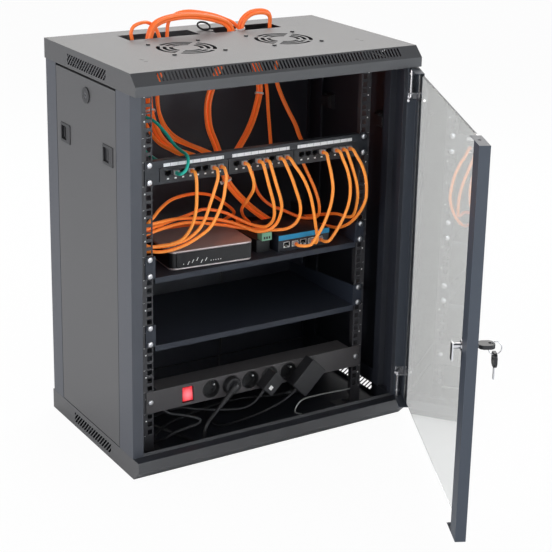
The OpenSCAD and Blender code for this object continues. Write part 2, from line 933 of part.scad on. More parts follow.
module screw_places() {
    for (x = [-1, 1], z = screw_zs) translate([x * hole_span / 2, ear_y, z]) rotate([-90, 0, 0]) children();
}

module rack_screws() {
    color("silver") at_front() screw_places() {
        translate([0, 0, -3.2]) cylinder(r = 5.8, h = 3.2);
        cylinder(r = 2.9, h = 13);
    }
}

module cage_nuts() {
    color("gray") at_front() screw_places() difference() {
        translate([-5.4, -5.4, 2 + rail_t]) cube([10.8, 10.8, 5]);
        cylinder(r = 2.9 + running, h = 15);
    }
}

shelf_x = rail_gap_x;
shelf_side_h = 42;
shelf_side_back = 21;

// Shelf tray with a folded front lip, sloping side walls and ears
module shelf(unit) {
    z = unit_z(unit) + 1.5;
    color("slategray") at_front() difference() {
        union() {
            box([-shelf_x, shelf_x], [ear_y, ear_y + shelf_depth], [z - sheet, z]);
            box([-shelf_x, shelf_x], [ear_y, ear_y + sheet], [z - 11, z]);
            on_both_sides() {
                along_x(shelf_x - sheet, sheet) polygon([
                    [ear_y, z - sheet], [ear_y + shelf_depth, z - sheet],
                    [ear_y + shelf_depth, z + shelf_side_back], [ear_y, z + shelf_side_h]
                ]);
                box([shelf_x - sheet, ear_x], [ear_y, rail_setback], [z - 1, z + shelf_side_h]);
            }
        }
        ear_holes([unit_z(unit) + hole_steps[0], unit_z(unit) + hole_steps[2]]);
    }
}

module shelf_upper() {
    shelf(upper_shelf_unit);
}

module shelf_lower() {
    shelf(lower_shelf_unit);
}

// Desktop router standing a little askew on the upper shelf
shelf_top = unit_z(upper_shelf_unit) + 1.5;
router_size = [172, 132, 38];
router_corner = 14;
router_at = [-91, 160];
router_turn = -4;

module at_router() {
    at_front() translate([router_at[0], router_at[1], shelf_top]) rotate(router_turn) children();
}

module router_case() {
    color("gray") at_router() {
        difference() {
            translate([0, 0, 1]) linear_extrude(router_size[2] - 1)
                rounded_square(router_size[0], router_size[1], router_corner);
            box(
                [-router_size[0] / 2 + 12, router_size[0] / 2 - 6],
                [-router_size[1] / 2 - 1, -router_size[1] / 2 + 2], [5, router_size[2] - 4]
            );
        }
        for (x = [-1, 1], y = [-1, 1]) translate([x * 65, y * 48, 0]) cylinder(r = 6, h = 2);
    }
}

module router_face() {
    color("black") at_router() box(
        [-router_size[0] / 2 + 12 + play, router_size[0] / 2 - 6 - play],
        [-router_size[1] / 2 - 0.6, -router_size[1] / 2 + 2], [5 + play, router_size[2] - 4 - play]
    );
}

// Small switch with a blue band above its ports
switch_x = [52, 168];
switch_y = [100, 205];
switch_h = 34;

module switch_case() {
    color("dimgray") at_front() difference() {
        box(switch_x, switch_y, span(shelf_top, 0, switch_h));
        for (i = [0:4]) translate([switch_x[0] + 12 + i * 19, 0, 0])
            box([0, 13], [switch_y[0] - 1, switch_y[0] + 14], span(shelf_top, 8, 19));
    }
}

module switch_front() {
    color("steelblue") at_front()
        box(switch_x, span(switch_y[0], -1.5, 0), span(shelf_top, switch_h - 10, switch_h));
}

// Narrow converter with a green screw-terminal block
converter_x = [14, 44];
converter_y = [118, 200];
converter_h = 26;

module media_converter() {
    color("black") at_front() box(converter_x, converter_y, span(shelf_top, 0, converter_h));
}

module terminal_block() {
    color("seagreen") at_front() difference() {
        box([20, 42], [108, 126], span(shelf_top, converter_h, converter_h + 16));
        for (x = [25.5, 31, 36.5]) translate([x, 113, shelf_top + converter_h + 8]) cylinder(r = 2, h = 10);
    }
}

// Power strip: extruded body with round outlets, a rocker switch and an ear at each end
strip_z = span(unit_z(strip_unit), play, unit_h - play);
strip_mid = (strip_z[0] + strip_z[1]) / 2;
strip_x = 217;
strip_depth = 44;
outlet_x0 = -102;
outlets = 6;
rocker_x = -153;
rocker_size = [22, 30];

earth_pin_at = 10;
earth_pin_r = 2.4;

function outlet_x(i) = outlet_x0 + i * outlet_pitch;

module pdu_body() {
    color("dimgray") at_front() difference() {
        union() {
            box([-strip_x, strip_x], [rail_setback, rail_setback + strip_depth], strip_z);
            box([-ear_x, ear_x], [ear_y, rail_setback], strip_z);
        }
        box([-strip_x + 2, strip_x - 2], [rail_setback + 16, rail_setback + strip_depth - 2],
            strip_z + [2, -2]);
        for (i = [0:outlets - 1]) translate([outlet_x(i), rail_setback + 17, strip_mid])
            rotate([90, 0, 0]) cylinder(d = outlet_d + 1 + 2 * play, h = 25);
        box(
            span(rocker_x, -rocker_size[0] / 2 - 1, rocker_size[0] / 2 + 1),
            [ear_y - 1, rail_setback + 17],
            span(strip_mid, -rocker_size[1] / 2 - 1, rocker_size[1] / 2 + 1)
        );
        ear_holes([unit_z(strip_unit) + hole_steps[1]]);
    }
}

rocker_tilt = 7;

// Lit rocker, tilted about its pivot so that its upper half is pressed in
module pdu_rocker() {
    color("red") at_front() translate([rocker_x, ear_y + 5, strip_mid]) rotate([-rocker_tilt, 0, 0]) {
        box([-rocker_size[0] / 2 + 0.5, rocker_size[0] / 2 - 0.5], [-4, 5],
            [-rocker_size[1] / 2 + 1.6, rocker_size[1] / 2 - 1.6]);
        rotate([0, 90, 0]) cylinder(r = 2, h = rocker_size[0] + 1.6, center = true);
    }
}

// Outlet insert: a cup with two pin holes and an earth pin at the upper right
module outlet_insert() {
    difference() {
        cylinder(d = outlet_d + 1, h = 15);
        translate([0, 0, 3]) cylinder(d = outlet_d - 2, h = 13);
        for (side = [-1, 1]) rotate(-45) translate([side * 9.5, 0, -1]) cylinder(r = 2.6, h = 6);
    }
    rotate(-45) translate([0, earth_pin_at, 0]) cylinder(r = earth_pin_r, h = 13.5);
}

module pdu_outlets() {
    color("black") at_front() for (i = [0:outlets - 1])
        translate([outlet_x(i), ear_y + 15, strip_mid]) rotate([90, 0, 0]) outlet_insert();
}

plug_disc_r = outlet_d / 2 - 1 - play;

// Places a plug at outlet i, with its own y axis running up its slant and z pointing forward
module at_outlet(i) {
    at_front() translate([outlet_x(i), ear_y, strip_mid]) rotate([90, 0, 0]) rotate(-45) children();
}

// The round part of a plug, which fills its outlet round the earth pin
module plug_disc(out) {
    difference() {
        translate([0, 0, -12 + play]) cylinder(r = plug_disc_r, h = 12 - play + out);
        translate([0, earth_pin_at, -12]) cylinder(r = earth_pin_r + play, h = 12);
    }
}

relief_y = 16;
relief_from = 3;
relief_to = -47;

module power_plug() {
    color("gray") at_outlet(1) {
        plug_disc(13);
        translate([0, relief_from, relief_y]) sphere(r = 7);
        translate([0, relief_from, relief_y]) rotate([90, 0, 0])
            cylinder(r1 = 7, r2 = 4.5, h = relief_from - relief_to);
    }
    color("gray") at_front() translate(supply_end) rotate([0, 90, 0]) {
        cylinder(r = supply_end[2] - sheet, h = 34);
        for (y = [-4, 4]) translate([0, y, 34]) cylinder(r = 2, h = 19);
    }
}

// Plug-in adapter: a block that hangs down its slant from the plug disc
module adapter(i, w, l, drop) {
    at_outlet(i) {
        plug_disc(1);
        translate([0, -drop, play]) linear_extrude(adapter_out) rounded_square(w, l, 3);
    }
}

adapter_out = 28;
small_adapter = [28, 42, 9];
large_adapter = [43, 66, 15];

module power_adapters() {
    color("dimgray") {
        adapter(3, small_adapter[0], small_adapter[1], small_adapter[2]);
        adapter(5, large_adapter[0], large_adapter[1], large_adapter[2]);
    }
}

// ---- Plugs, cords and ties ----

patch_d = 6.2;
trunk_d = 7;
stub = 8;
plug_in = 12;
plug_out = 9;
plug_w = port_w - 2 * play;
plug_h = port_z[1] - port_z[0] - 2 * play;
port_mid = (port_z[0] + port_z[1]) / 2;
module_back = rail_setback + 28;

function port_x(n) =
    module_pitch * (floor((n - 1) / port_count) - 1)
    + ((n - 1) % port_count - (port_count - 1) / 2) * port_pitch;
function port_at(n) = [port_x(n), module_face, port_mid];
function front_at(i) = [switch_x[0] + 18.5 + i * 19, switch_y[0], shelf_top + 13.5];
function back_at(x, rise) = [x, switch_y[1], shelf_top + rise];
function router_at_back(x, rise) = [
    router_at[0] + x * cos(router_turn) - router_size[1] / 2 * sin(router_turn),
    router_at[1] + x * sin(router_turn) + router_size[1] / 2 * cos(router_turn),
    shelf_top + rise
];

// The first two points of a cord that leaves a plug, set off along y by the given sign
function leave(at, away) = [at + [0, away * plug_out, 0], at + [0, away * (plug_out + stub), 0]];
function arrive(at, away) = [at + [0, away * (plug_out + stub), 0], at + [0, away * plug_out, 0]];
function from_back(x, z) = [[x, module_back, z], [x, module_back + stub, z]];
function to_back(x, z) = [[x, module_back + stub, z], [x, module_back, z]];

used_ports = [2, 4, 7, 8, 10, 12, 13, 15, 16, 20, 22, 23, 24];
used_fronts = [1, 3, 4];
router_xs = [-60, -20, 20, 60];
router_rise = 12;
router_gap = plug_w / 2 * sin(abs(router_turn));
switch_backs = [[62, 24], [76, 8], [92, 8], [132, 8], [150, 8]];

module plug(at, away) {
    translate(at) {
        box([-plug_w / 2, plug_w / 2], away < 0 ? [-5, plug_in] : [0, 5], [-plug_h / 2, plug_h / 2]);
        translate([0, away * plug_out, 0]) rotate([90 * away, 0, 0]) cylinder(d = 7.6, h = plug_out - 5);
    }
}

// The block in which the thick bundle ends
block_at = back_at(108, 22);
block_out = 12;

module patch_plugs() {
    color("white") at_front() {
        for (n = used_ports) plug(port_at(n), -1);
        for (i = used_fronts) plug(front_at(i), -1);
        for (x = router_xs) translate([0, router_gap, 0]) plug(router_at_back(x, router_rise), 1);
        for (p = switch_backs) plug(back_at(p[0], p[1]), 1);
        translate(block_at) box([-11, 11], [0, block_out], [-8, 8]);
    }
}

// Front leads: the port each leaves, then its route
lead_4 = concat(
    leave(port_at(4), -1),
    [
        [-150, 59, 540], [-149, 60, 514], [-149, 62, 487], [-152, 67, 460], [-160, 74, 438],
        [-172, 79, 425], [-190, 84, 419], [-207, 90, 417], [-222, 94, 416], [-235, 95, 421],
        [-240, 96, 436], [-232, 98, 456], [-212, 105, 470], [-193, 118, 478], [-160, 140, 484],
        [-117, 165, 481], [-74, 185, 473], [-37, 200, 459], [-4, 218, 437], [34, 240, 405],
        [26, 258, 388], [4, 264, 375], [-14, 256, 371]
    ],
    arrive(router_at_back(router_xs[3], router_rise) + [0, router_gap, 0], 1)
);
lead_7 = concat(
    leave(port_at(7), -1),
    [
        [-106, 59, 540], [-112, 60, 518], [-120, 61, 494], [-128, 66, 464], [-138, 73, 442],
        [-156, 81, 425], [-175, 88, 417], [-194, 95, 413], [-214, 105, 411], [-232, 119, 410],
        [-241, 150, 399], [-246, 200, 388], [-244, 255, 390], [-222, 288, 398], [-180, 300, 386],
        [-100, 304, 372], [0, 300, 366], [56, 276, 366]
    ],
    arrive(back_at(switch_backs[1][0], switch_backs[1][1]), 1)
);
lead_8 = concat(
    leave(port_at(8), -1),
    [
        [-88, 59, 540], [-91, 58, 522], [-95, 58, 498], [-106, 61, 468], [-118, 66, 445],
        [-138, 73, 428], [-160, 80, 415], [-186, 86, 407], [-208, 94, 404], [-226, 106, 404],
        [-240, 132, 390], [-256, 190, 376], [-256, 250, 378], [-240, 292, 388], [-218, 308, 396],
        [-170, 316, 382], [-60, 316, 366], [40, 306, 364], [84, 276, 366]
    ],
    arrive(back_at(switch_backs[2][0], switch_backs[2][1]), 1)
);
lead_10 = concat(
    leave(port_at(10), -1),
    [
        [-35, 60, 540], [-28, 62, 522], [-21, 76, 500], [-13, 110, 471], [6, 162, 438],
        [44, 224, 404], [60, 240, 388]
    ],
    arrive(back_at(switch_backs[0][0], switch_backs[0][1]), 1)
);
lead_12 = concat(
    leave(port_at(12), -1),
    [
        [-5, 60, 540], [4, 60, 510], [15, 65, 483], [24, 73, 462], [30, 82, 441],
        [31, 93, 425], [26, 106, 414], [18, 121, 412], [6, 133, 415], [-10, 145, 423],
        [-36, 160, 437], [-74, 165, 447], [-98, 160, 446], [-125, 152, 444], [-160, 136, 445],
        [-195, 118, 446], [-220, 112, 445], [-236, 121, 439], [-242, 150, 430], [-240, 190, 418],
        [-226, 228, 404], [-196, 246, 391], [-164, 248, 377]
    ],
    arrive(router_at_back(router_xs[0], router_rise) + [0, router_gap, 0], 1)
);
lead_13 = concat(
    leave(port_at(13), -1),
    [
        [10, 60, 540], [20, 59, 509], [31, 63, 483], [39, 70, 462], [42, 79, 443],
        [41, 89, 424], [31, 100, 409], [14, 112, 404], [0, 124, 408], [-22, 139, 418],
        [-50, 148, 427], [-80, 150, 434], [-112, 143, 441], [-150, 127, 450], [-178, 114, 455],
        [-206, 106, 456], [-228, 110, 453], [-240, 126, 446], [-252, 160, 434], [-252, 205, 418],
        [-230, 250, 404], [-195, 266, 391], [-130, 266, 376]
    ],
    arrive(router_at_back(router_xs[1], router_rise) + [0, router_gap, 0], 1)
);
lead_15 = concat(
    leave(port_at(15), -1),
    [
        [43, 59, 540], [53, 58, 518], [65, 60, 490], [76, 64, 464], [82, 72, 441],
        [80, 83, 420], [67, 93, 408], [47, 106, 404], [28, 121, 404], [10, 134, 404],
        [-14, 142, 408], [-40, 147, 415], [-70, 142, 423], [-100, 137, 432], [-130, 129, 439],
        [-160, 120, 442], [-190, 111, 442], [-216, 105, 440], [-234, 112, 433], [-241, 132, 424],
        [-258, 172, 412], [-258, 225, 404], [-234, 268, 402], [-195, 284, 388], [-110, 286, 373],
        [-76, 266, 371]
    ],
    arrive(router_at_back(router_xs[2], router_rise) + [0, router_gap, 0], 1)
);
lead_16 = concat(
    leave(port_at(16), -1),
    [
        [59, 58, 542], [70, 55, 526], [82, 54, 505], [92, 54, 482], [101, 58, 458],
        [110, 65, 434], [119, 73, 411], [125, 78, 396], [127, 78, 382]
    ],
    arrive(front_at(3), -1)
);
lead_20 = concat(
    leave(port_at(20), -1),
    [
        [135, 59, 540], [141, 57, 514], [145, 56, 486], [143, 58, 457], [137, 61, 432],
        [128, 63, 410], [117, 65, 392], [104, 67, 376]
    ],
    arrive(front_at(1), -1)
);
lead_22 = concat(
    leave(port_at(22), -1),
    [
        [168, 58, 540], [177, 55, 517], [184, 55, 489], [185, 57, 459], [181, 63, 431],
        [172, 70, 404], [160, 73, 384], [150, 73, 375]
    ],
    arrive(front_at(4), -1)
);
lead_23 = concat(
    leave(port_at(23), -1),
    [
        [183, 59, 540], [191, 56, 516], [199, 56, 492], [205, 59, 469], [209, 66, 446],
        [212, 81, 417], [214, 106, 406], [213, 140, 403], [206, 170, 395], [190, 205, 384],
        [170, 236, 374]
    ],
    arrive(back_at(switch_backs[4][0], switch_backs[4][1]), 1)
);
lead_24 = concat(
    leave(port_at(24), -1),
    [
        [199, 57, 543], [208, 53, 526], [217, 52, 502], [222, 54, 478], [225, 60, 451],
        [221, 74, 422], [212, 93, 397], [206, 124, 380], [204, 175, 371], [196, 218, 366],
        [170, 258, 366], [144, 250, 367]
    ],
    arrive(back_at(switch_backs[3][0], switch_backs[3][1]), 1)
);

// The teal lead, which climbs over the panel and turns back to the rear of its jack
lead_2 = concat(
    leave(port_at(2), -1),
    [
        [-172, 60, 562], [-163, 67, 575], [-158, 82, 584], [-158, 104, 587], [-159, 126, 592],
        [-165, 150, 610], [-178, 176, 630], [-194, 205, 632], [-199, 214, 604], [-190, 188, 572],
        [-182, 152, 560]
    ],
    to_back(-180, 556)
);

// A long lead that sags from one jack to another behind the panel
lead_sag = concat(
    from_back(109, 552),
    [
        [116, 128, 535], [130, 126, 505], [146, 122, 470], [159, 124, 436], [166, 136, 408],
        [160, 154, 398], [144, 171, 398], [117, 190, 411], [94, 201, 422], [70, 206, 447],
        [56, 206, 483], [44, 192, 518], [32, 168, 543], [26, 145, 551]
    ],
    to_back(22, 552)
);

patch_routes = [
    lead_2, lead_4, lead_7, lead_8, lead_10, lead_12, lead_13, lead_15, lead_16, lead_20,
    lead_22, lead_23, lead_24, lead_sag
];

module patch_cords() {
    color("orange") at_front() for (route = patch_routes) cord(route, patch_d);
}

// Bundle of three from the left jacks over the roof and down to the shelf
bundle_three = concat(
    from_back(-95, 553),
    [
        [-95, 145, 553], [-96, 168, 553], [-100, 190, 553], [-108, 208, 555], [-117, 230, 562],
        [-123, 252, 574], [-125, 272, 592], [-124, 293, 616], [-120, 308, 644], [-118, 314, 680],
        [-116, 316, 720], [-114, 316, 752], [-107, 316, 772], [-96, 316, 782], [-78, 316, 788],
        [-54, 316, 791], [-26, 316, 791], [4, 316, 787], [32, 316, 780], [54, 316, 771],
        [66, 316, 757], [58, 316, 728], [44, 315, 694], [27, 314, 654], [14, 311, 620],
        [8, 303, 592], [6, 290, 565], [5, 262, 538], [-3, 222, 508], [-2, 208, 484],
        [20, 212, 456], [55, 225, 423], [84, 238, 400], [102, 240, 386]
    ],
    [block_at + [0, block_out + stub, 0], block_at + [0, block_out + play, 0]]
);

// Pair that winds twice over the right-hand entry
bundle_two = concat(
    from_back(-8, 553),
    [
        [-7, 145, 550], [-2, 175, 542], [8, 202, 534], [22, 222, 531], [46, 245, 536],
        [80, 272, 555], [104, 290, 577], [120, 302, 601], [130, 310, 623], [131, 314, 645],
        [116, 316, 691], [97, 316, 738], [88, 316, 756], [90, 316, 768], [98, 316, 778],
        [112, 316, 786], [132, 316, 788], [149, 316, 784], [157, 318, 774], [158, 320, 757],
        [160, 319, 730], [172, 316, 686], [173, 314, 645], [183, 311, 614], [195, 303, 583],
        [205, 290, 555], [206, 268, 528], [199, 225, 522], [191, 170, 538], [189, 145, 550]
    ],
    to_back(188, 552)
);

// Single trunk that crosses the roof behind the bundle of three
crossing_lead = concat(
    from_back(84, 553),
    [
        [86, 145, 548], [94, 182, 536], [104, 215, 530], [119, 245, 540], [132, 272, 565],
        [141, 293, 595], [146, 306, 626], [146, 314, 646], [139, 326, 672], [124, 331, 709],
        [102, 331, 742], [90, 331, 757], [78, 331, 768], [58, 330, 777], [34, 330, 786],
        [5, 330, 793], [-22, 330, 797], [-44, 330, 795], [-58, 330, 788], [-65, 331, 777],
        [-67, 331, 764], [-68, 331, 750], [-74, 331, 710], [-86, 329, 660], [-94, 322, 625],
        [-92, 305, 592], [-84, 280, 570], [-70, 245, 558], [-61, 200, 555], [-60, 150, 555]
    ],
    to_back(-60, 555)
);

loop_left = concat(
    from_back(-116, 557),
    [
        [-117, 160, 558], [-126, 205, 561], [-134, 236, 567], [-139, 262, 582], [-139, 286, 604],
        [-136, 304, 650], [-143, 312, 700], [-150, 316, 752], [-152, 316, 768], [-146, 316, 779],
        [-132, 316, 784], [-112, 328, 782], [-95, 332, 772], [-86, 330, 754], [-86, 318, 720],
        [-98, 308, 680], [-106, 298, 650], [-110, 284, 616], [-110, 262, 589], [-104, 238, 573],
        [-91, 212, 566], [-80, 180, 562], [-78, 145, 558]
    ],
    to_back(-78, 557)
);

// A line that keeps a fixed place beside another, as a cord does in a tied bundle
function beside(line, a, b, i = 0, side = undef) =
    i >= len(line) ? [] :
    let (t = direction(line, i), s = side == undef ? first_side(t) : square_to(side, t))
    concat([line[i] + a * s + b * cross(t, s)], beside(line, a, b, i + 1, s));

bundle_gap = trunk_d + 0.4;
in_three = [for (a = [90, 210, 330]) bundle_gap / sqrt(3) * [cos(a), sin(a)]];
in_two = [[0, bundle_gap / 2], [0, -bundle_gap / 2]];

module bundle(route, places) {
    line = route_line(route, trunk_d);
    for (p = places) swept(beside(line, p[0], p[1]), trunk_d, 8);
}

module trunk_cords() {
    color("darkorange") at_front() {
        bundle(bundle_three, in_three);
        bundle(bundle_two, in_two);
        cord(loop_left, trunk_d);
        cord(crossing_lead, trunk_d);
    }
}

tie_w = 3.6;
tie_t = 1.2;
tie_slack = 1.3;
three_r = bundle_gap / sqrt(3) + trunk_d / 2 + tie_slack;
two_r = bundle_gap / 2 + trunk_d / 2 + tie_slack / 2;
open_tie_r = 11;

// Ring of tie tape about point k of a route, with its lock block
module tie(route, k, r) {
    v = unit_vector(route[k + 1] - route[k - 1]);
    translate(route[k]) rotate([0, acos(v[2]), atan2(v[1], v[0])]) {
        difference() {
            cylinder(r = r + tie_t, h = tie_w, center = true);
            cylinder(r = r, h = tie_w + 1, center = true);
        }
        translate([r + tie_t / 2, -3, -3]) cube([4, 6, 6]);
    }
}

module cable_ties() {
    color("white") at_front() {
        tie(bundle_three, 9, three_r);
        tie(bundle_three, 31, three_r);
        tie(bundle_two, 10, two_r);
        tie(bundle_two, 14, two_r);
        translate([8, 322, cabinet_h + open_tie_r + tie_t]) rotate([90, 0, 25])
            rotate_extrude() translate([open_tie_r, 0]) circle(tie_t, $fn = 16);
    }
}

function outlet_point(i, y, z) =
    [outlet_x(i) + y * sin(45), ear_y - z, strip_mid + y * cos(45)];

plug_lead_d = 7;
strip_lead_d = 6;
adapter_lead_d = 4.5;
earth_lead_d = 3;
down_slant = [-sin(45), 0, -cos(45)];

plug_end = outlet_point(1, relief_to, relief_y);
fan_lead = concat(
    [plug_end, plug_end + 12 * down_slant],
    [
        [-112, 65, 63], [-124, 61, 54], [-129, 61, 38], [-129, 66, 20], [-133, 84, 8],
        [-145, 130, 6], [-172, 205, 6], [-215, 290, 6], [-250, 332, 16], [-262, 342, 50],
        [-264, 342, 120], [-264, 342, 260], [-264, 342, 400], [-262, 336, 560], [-246, 320, 660],
        [-216, 296, 706], [-176, 274, 732], [-142, 262, 738]
    ],
    [[-125, fan_setback + 60 + stub, 738], [-125, fan_setback + 60, 738]]
);

small_end = outlet_point(3, -small_adapter[2] - small_adapter[1] / 2, play + adapter_out / 2);
router_lead = concat(
    [small_end, small_end + stub * down_slant],
    [
        [-14, 72, 70], [-36, 79, 60], [-80, 90, 62], [-127, 101, 70], [-150, 112, 74],
        [-174, 128, 66], [-198, 156, 46], [-216, 205, 24], [-236, 270, 14], [-248, 316, 24],
        [-252, 328, 60], [-252, 328, 140], [-252, 328, 240], [-252, 328, 330], [-244, 334, 380],
        [-214, 338, 399], [-176, 322, 405], [-150, 294, 402], [-132, 262, 391]
    ],
    [router_at_back(-36, 26) + [0, 14, 0], router_at_back(-36, 26) + [0, play, 0]]
);

large_end = outlet_point(5, -large_adapter[2] - large_adapter[1] / 2, play + adapter_out / 2);
converter_lead = concat(
    [large_end, large_end + stub * down_slant],
    [
        [54, 73, 58], [24, 80, 44], [-4, 87, 34], [-36, 98, 24], [-56, 122, 11],
        [-60, 160, 5], [-40, 220, 5], [10, 290, 5], [54, 338, 14], [67, 351, 46],
        [70, 351, 120], [70, 351, 220], [69, 349, 320], [66, 337, 378], [57, 312, 392],
        [48, 284, 392], [42, 250, 381], [34, 226, 373]
    ],
    [[29, converter_y[1] + stub, shelf_top + 13], [29, converter_y[1], shelf_top + 13]]
);

supply_end = [140, 196, 8];
strip_lead = concat(
    [[-195, rail_setback + 20, strip_z[0]], [-195, rail_setback + 20, strip_z[0] - stub]],
    [
        [-183, 99, 74], [-164, 91, 70], [-143, 83, 64], [-129, 78, 57], [-136, 78, 50],
        [-154, 81, 46], [-182, 87, 38], [-202, 96, 24], [-206, 118, 14], [-192, 144, 13],
        [-160, 166, 16], [-115, 184, 16], [-50, 203, 14], [10, 212, 13], [70, 210, 9],
        [110, 200, 8]
    ],
    [supply_end - [10, 0, 0], supply_end]
);

earth_lead = [
    [112, 96, sheet], [112, 95, 7], [100, 84, 15], [85, 76, 26], [88, 75, 39],
    [106, 80, 47], [148, 90, 43], [186, 97, 38], [220, 98, 36], [rail_x - rail_t, 98, 36]
];

module power_leads() {
    color("black") at_front() {
        cord(fan_lead, plug_lead_d);
        cord(router_lead, adapter_lead_d);
        cord(converter_lead, adapter_lead_d);
        cord(strip_lead, strip_lead_d);
        cord(earth_lead, earth_lead_d);
    }
}

// ---- The nodes ----

base_tray();
top_cap();
side_frame_left();
side_frame_right();
rear_panel();
side_panel_left();
side_panel_right();
panel_fittings_left();
panel_fittings_right();
panel_lock_left();
panel_lock_right();
latch_left_front();
latch_left_rear();
latch_right_front();
latch_right_rear();
rail_left();
rail_right();
rail_brackets();
bracket_bolts();
fan_housings();
fan_rotor_left();
fan_rotor_right();
fan_screws();
hinge_stile();
lock_stile();
door_glass();
glass_tape();
hinge_pin_top();
hinge_pin_bottom();
hinge_spring_top();
hinge_spring_bottom();
pin_guides();
lock_body();
lock_core();
door_key();
key_ring();
spare_key();
patch_panel();
jack_modules();
label_strips();
rack_screws();
cage_nuts();
shelf_upper();
shelf_lower();
router_case();
router_face();
switch_case();
switch_front();
media_converter();
terminal_block();
pdu_body();
pdu_rocker();
pdu_outlets();
power_plug();
power_adapters();
patch_plugs();
cable_ties();
patch_cords();
trunk_cords();
power_leads();
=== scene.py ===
# %% [markdown]
# # A network rack cabinet
# The real object is a wall cabinet of folded, powder-coated sheet steel with a glass door.
# Inside are two punched rails, a patch panel, two shelves, a router, a small switch and a
# power strip, and a good deal of orange network cable that leaves through the roof.
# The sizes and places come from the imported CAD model, the frame. Its nodes keep their shapes,
# and this notebook gives them finishes and swaps the plain ones for detailed pieces.
# %% The frame
import json
import math

import bmesh
import bpy
from mathutils import Matrix, Vector


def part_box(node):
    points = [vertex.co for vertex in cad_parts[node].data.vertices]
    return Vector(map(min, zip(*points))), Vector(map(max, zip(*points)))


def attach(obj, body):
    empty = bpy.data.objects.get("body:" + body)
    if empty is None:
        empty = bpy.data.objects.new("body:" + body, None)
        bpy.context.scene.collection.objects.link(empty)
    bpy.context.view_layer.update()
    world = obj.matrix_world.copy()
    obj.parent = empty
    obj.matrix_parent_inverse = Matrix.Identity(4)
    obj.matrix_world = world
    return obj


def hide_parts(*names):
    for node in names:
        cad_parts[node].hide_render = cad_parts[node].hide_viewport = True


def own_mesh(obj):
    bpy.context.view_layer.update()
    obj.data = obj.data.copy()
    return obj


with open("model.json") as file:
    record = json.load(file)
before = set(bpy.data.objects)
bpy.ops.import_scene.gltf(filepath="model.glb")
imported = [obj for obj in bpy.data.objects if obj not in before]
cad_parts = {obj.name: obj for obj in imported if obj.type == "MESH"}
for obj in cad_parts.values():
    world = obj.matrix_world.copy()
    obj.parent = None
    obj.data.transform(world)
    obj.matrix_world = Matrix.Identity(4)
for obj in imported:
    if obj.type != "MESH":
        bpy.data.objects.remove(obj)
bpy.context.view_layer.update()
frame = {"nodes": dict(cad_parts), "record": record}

nodes = frame["nodes"]

# %% [markdown]
# ## Camera
# A product picture is taken with a long lens, so that upright edges stay nearly parallel.
# The camera stands a little above the roof, to the left of the front. It is placed from a
# heading, a downward tilt and a slight roll, which are easier to reason about than a matrix.
# The small shift moves the frame without tilting the lens, as a view camera does.
# %% Camera
FRONT_Y = -0.1925          # the cabinet's front plane
CAMERA_AT = Vector((-1.38196, -2.38727, 1.28055))
HEADING, TILT, ROLL = (math.radians(a) for a in (32.454, 17.18, 1.351))
LENS_MM, SENSOR_MM = 96.63, 36
SHIFT, NEAREST = (-0.0259, -0.1181), 0.05


def in_scene(name, data):
    made = bpy.data.objects.new(name, data)
    bpy.context.scene.collection.objects.link(made)
    return made


def place_camera():
    forward = Vector((math.sin(HEADING) * math.cos(TILT), math.cos(HEADING) * math.cos(TILT),
                      -math.sin(TILT)))
    level = Vector((math.cos(HEADING), -math.sin(HEADING), 0))
    upward = level.cross(forward)
    right = math.cos(ROLL) * level + math.sin(ROLL) * upward
    up = -math.sin(ROLL) * level + math.cos(ROLL) * upward
    turn = Matrix((right, up, -forward)).transposed().to_4x4()
    camera = in_scene("camera", bpy.data.cameras.new("camera"))
    camera.matrix_world = Matrix.Translation(CAMERA_AT) @ turn
    camera.data.lens = LENS_MM
    camera.data.sensor_width = SENSOR_MM
    camera.data.shift_x, camera.data.shift_y = SHIFT
    camera.data.clip_start = NEAREST
    bpy.context.scene.camera = camera
    return camera


camera = place_camera()
print("camera at", [round(v, 3) for v in camera.matrix_world.translation])

# %% [markdown]
# ## Cord routes
# Each network lead, trunk cable and mains lead runs where its CAD solid runs, so the same
# points are given here, in millimetres from the cabinet's front plane, and turned into metres.
# Most leads start and end at a socket, and these sizes say where the sockets are.
# %% Socket places
PORT_PITCH, MODULE_PITCH, PORTS = 15.3, 142.0, 8
MODULE_FACE, PORT_RISE = 82.7, 554.55
PATCH_D, TRUNK_D = 6.2, 7.0
STUB, PLUG_OUT = 8.0, 9.0
FORWARD, BACKWARD = -1, 1
MODULE_BACK = 114.2
SHELF_TOP = 358.65
SWITCH_FRONT, SWITCH_BACK = 100.0, 205.0
FIRST_FRONT_X, FRONT_PITCH, FRONT_RISE = 70.5, 19.0, 13.5
ROUTER_AT, ROUTER_TURN, ROUTER_HALF_DEPTH = (-91.0, 160.0), math.radians(-4), 66.0
PLUG_W = 11.4
ROUTER_GAP = PLUG_W / 2 * math.sin(-ROUTER_TURN)


def metres(p):
    return Vector((p[0] / 1000, p[1] / 1000 + FRONT_Y, p[2] / 1000))


def port_at(n):
    x = MODULE_PITCH * ((n - 1) // PORTS - 1) + ((n - 1) % PORTS - (PORTS - 1) / 2) * PORT_PITCH
    return [x, MODULE_FACE, PORT_RISE]


def front_at(i):
    return [FIRST_FRONT_X + i * FRONT_PITCH, SWITCH_FRONT, SHELF_TOP + FRONT_RISE]


def back_at(x, rise):
    return [x, SWITCH_BACK, SHELF_TOP + rise]


def router_back(x, rise):
    c, s = math.cos(ROUTER_TURN), math.sin(ROUTER_TURN)
    return [ROUTER_AT[0] + x * c - ROUTER_HALF_DEPTH * s,
            ROUTER_AT[1] + x * s + ROUTER_HALF_DEPTH * c, SHELF_TOP + rise]


print("port 12 is at", [round(v, 4) for v in metres(port_at(12))])

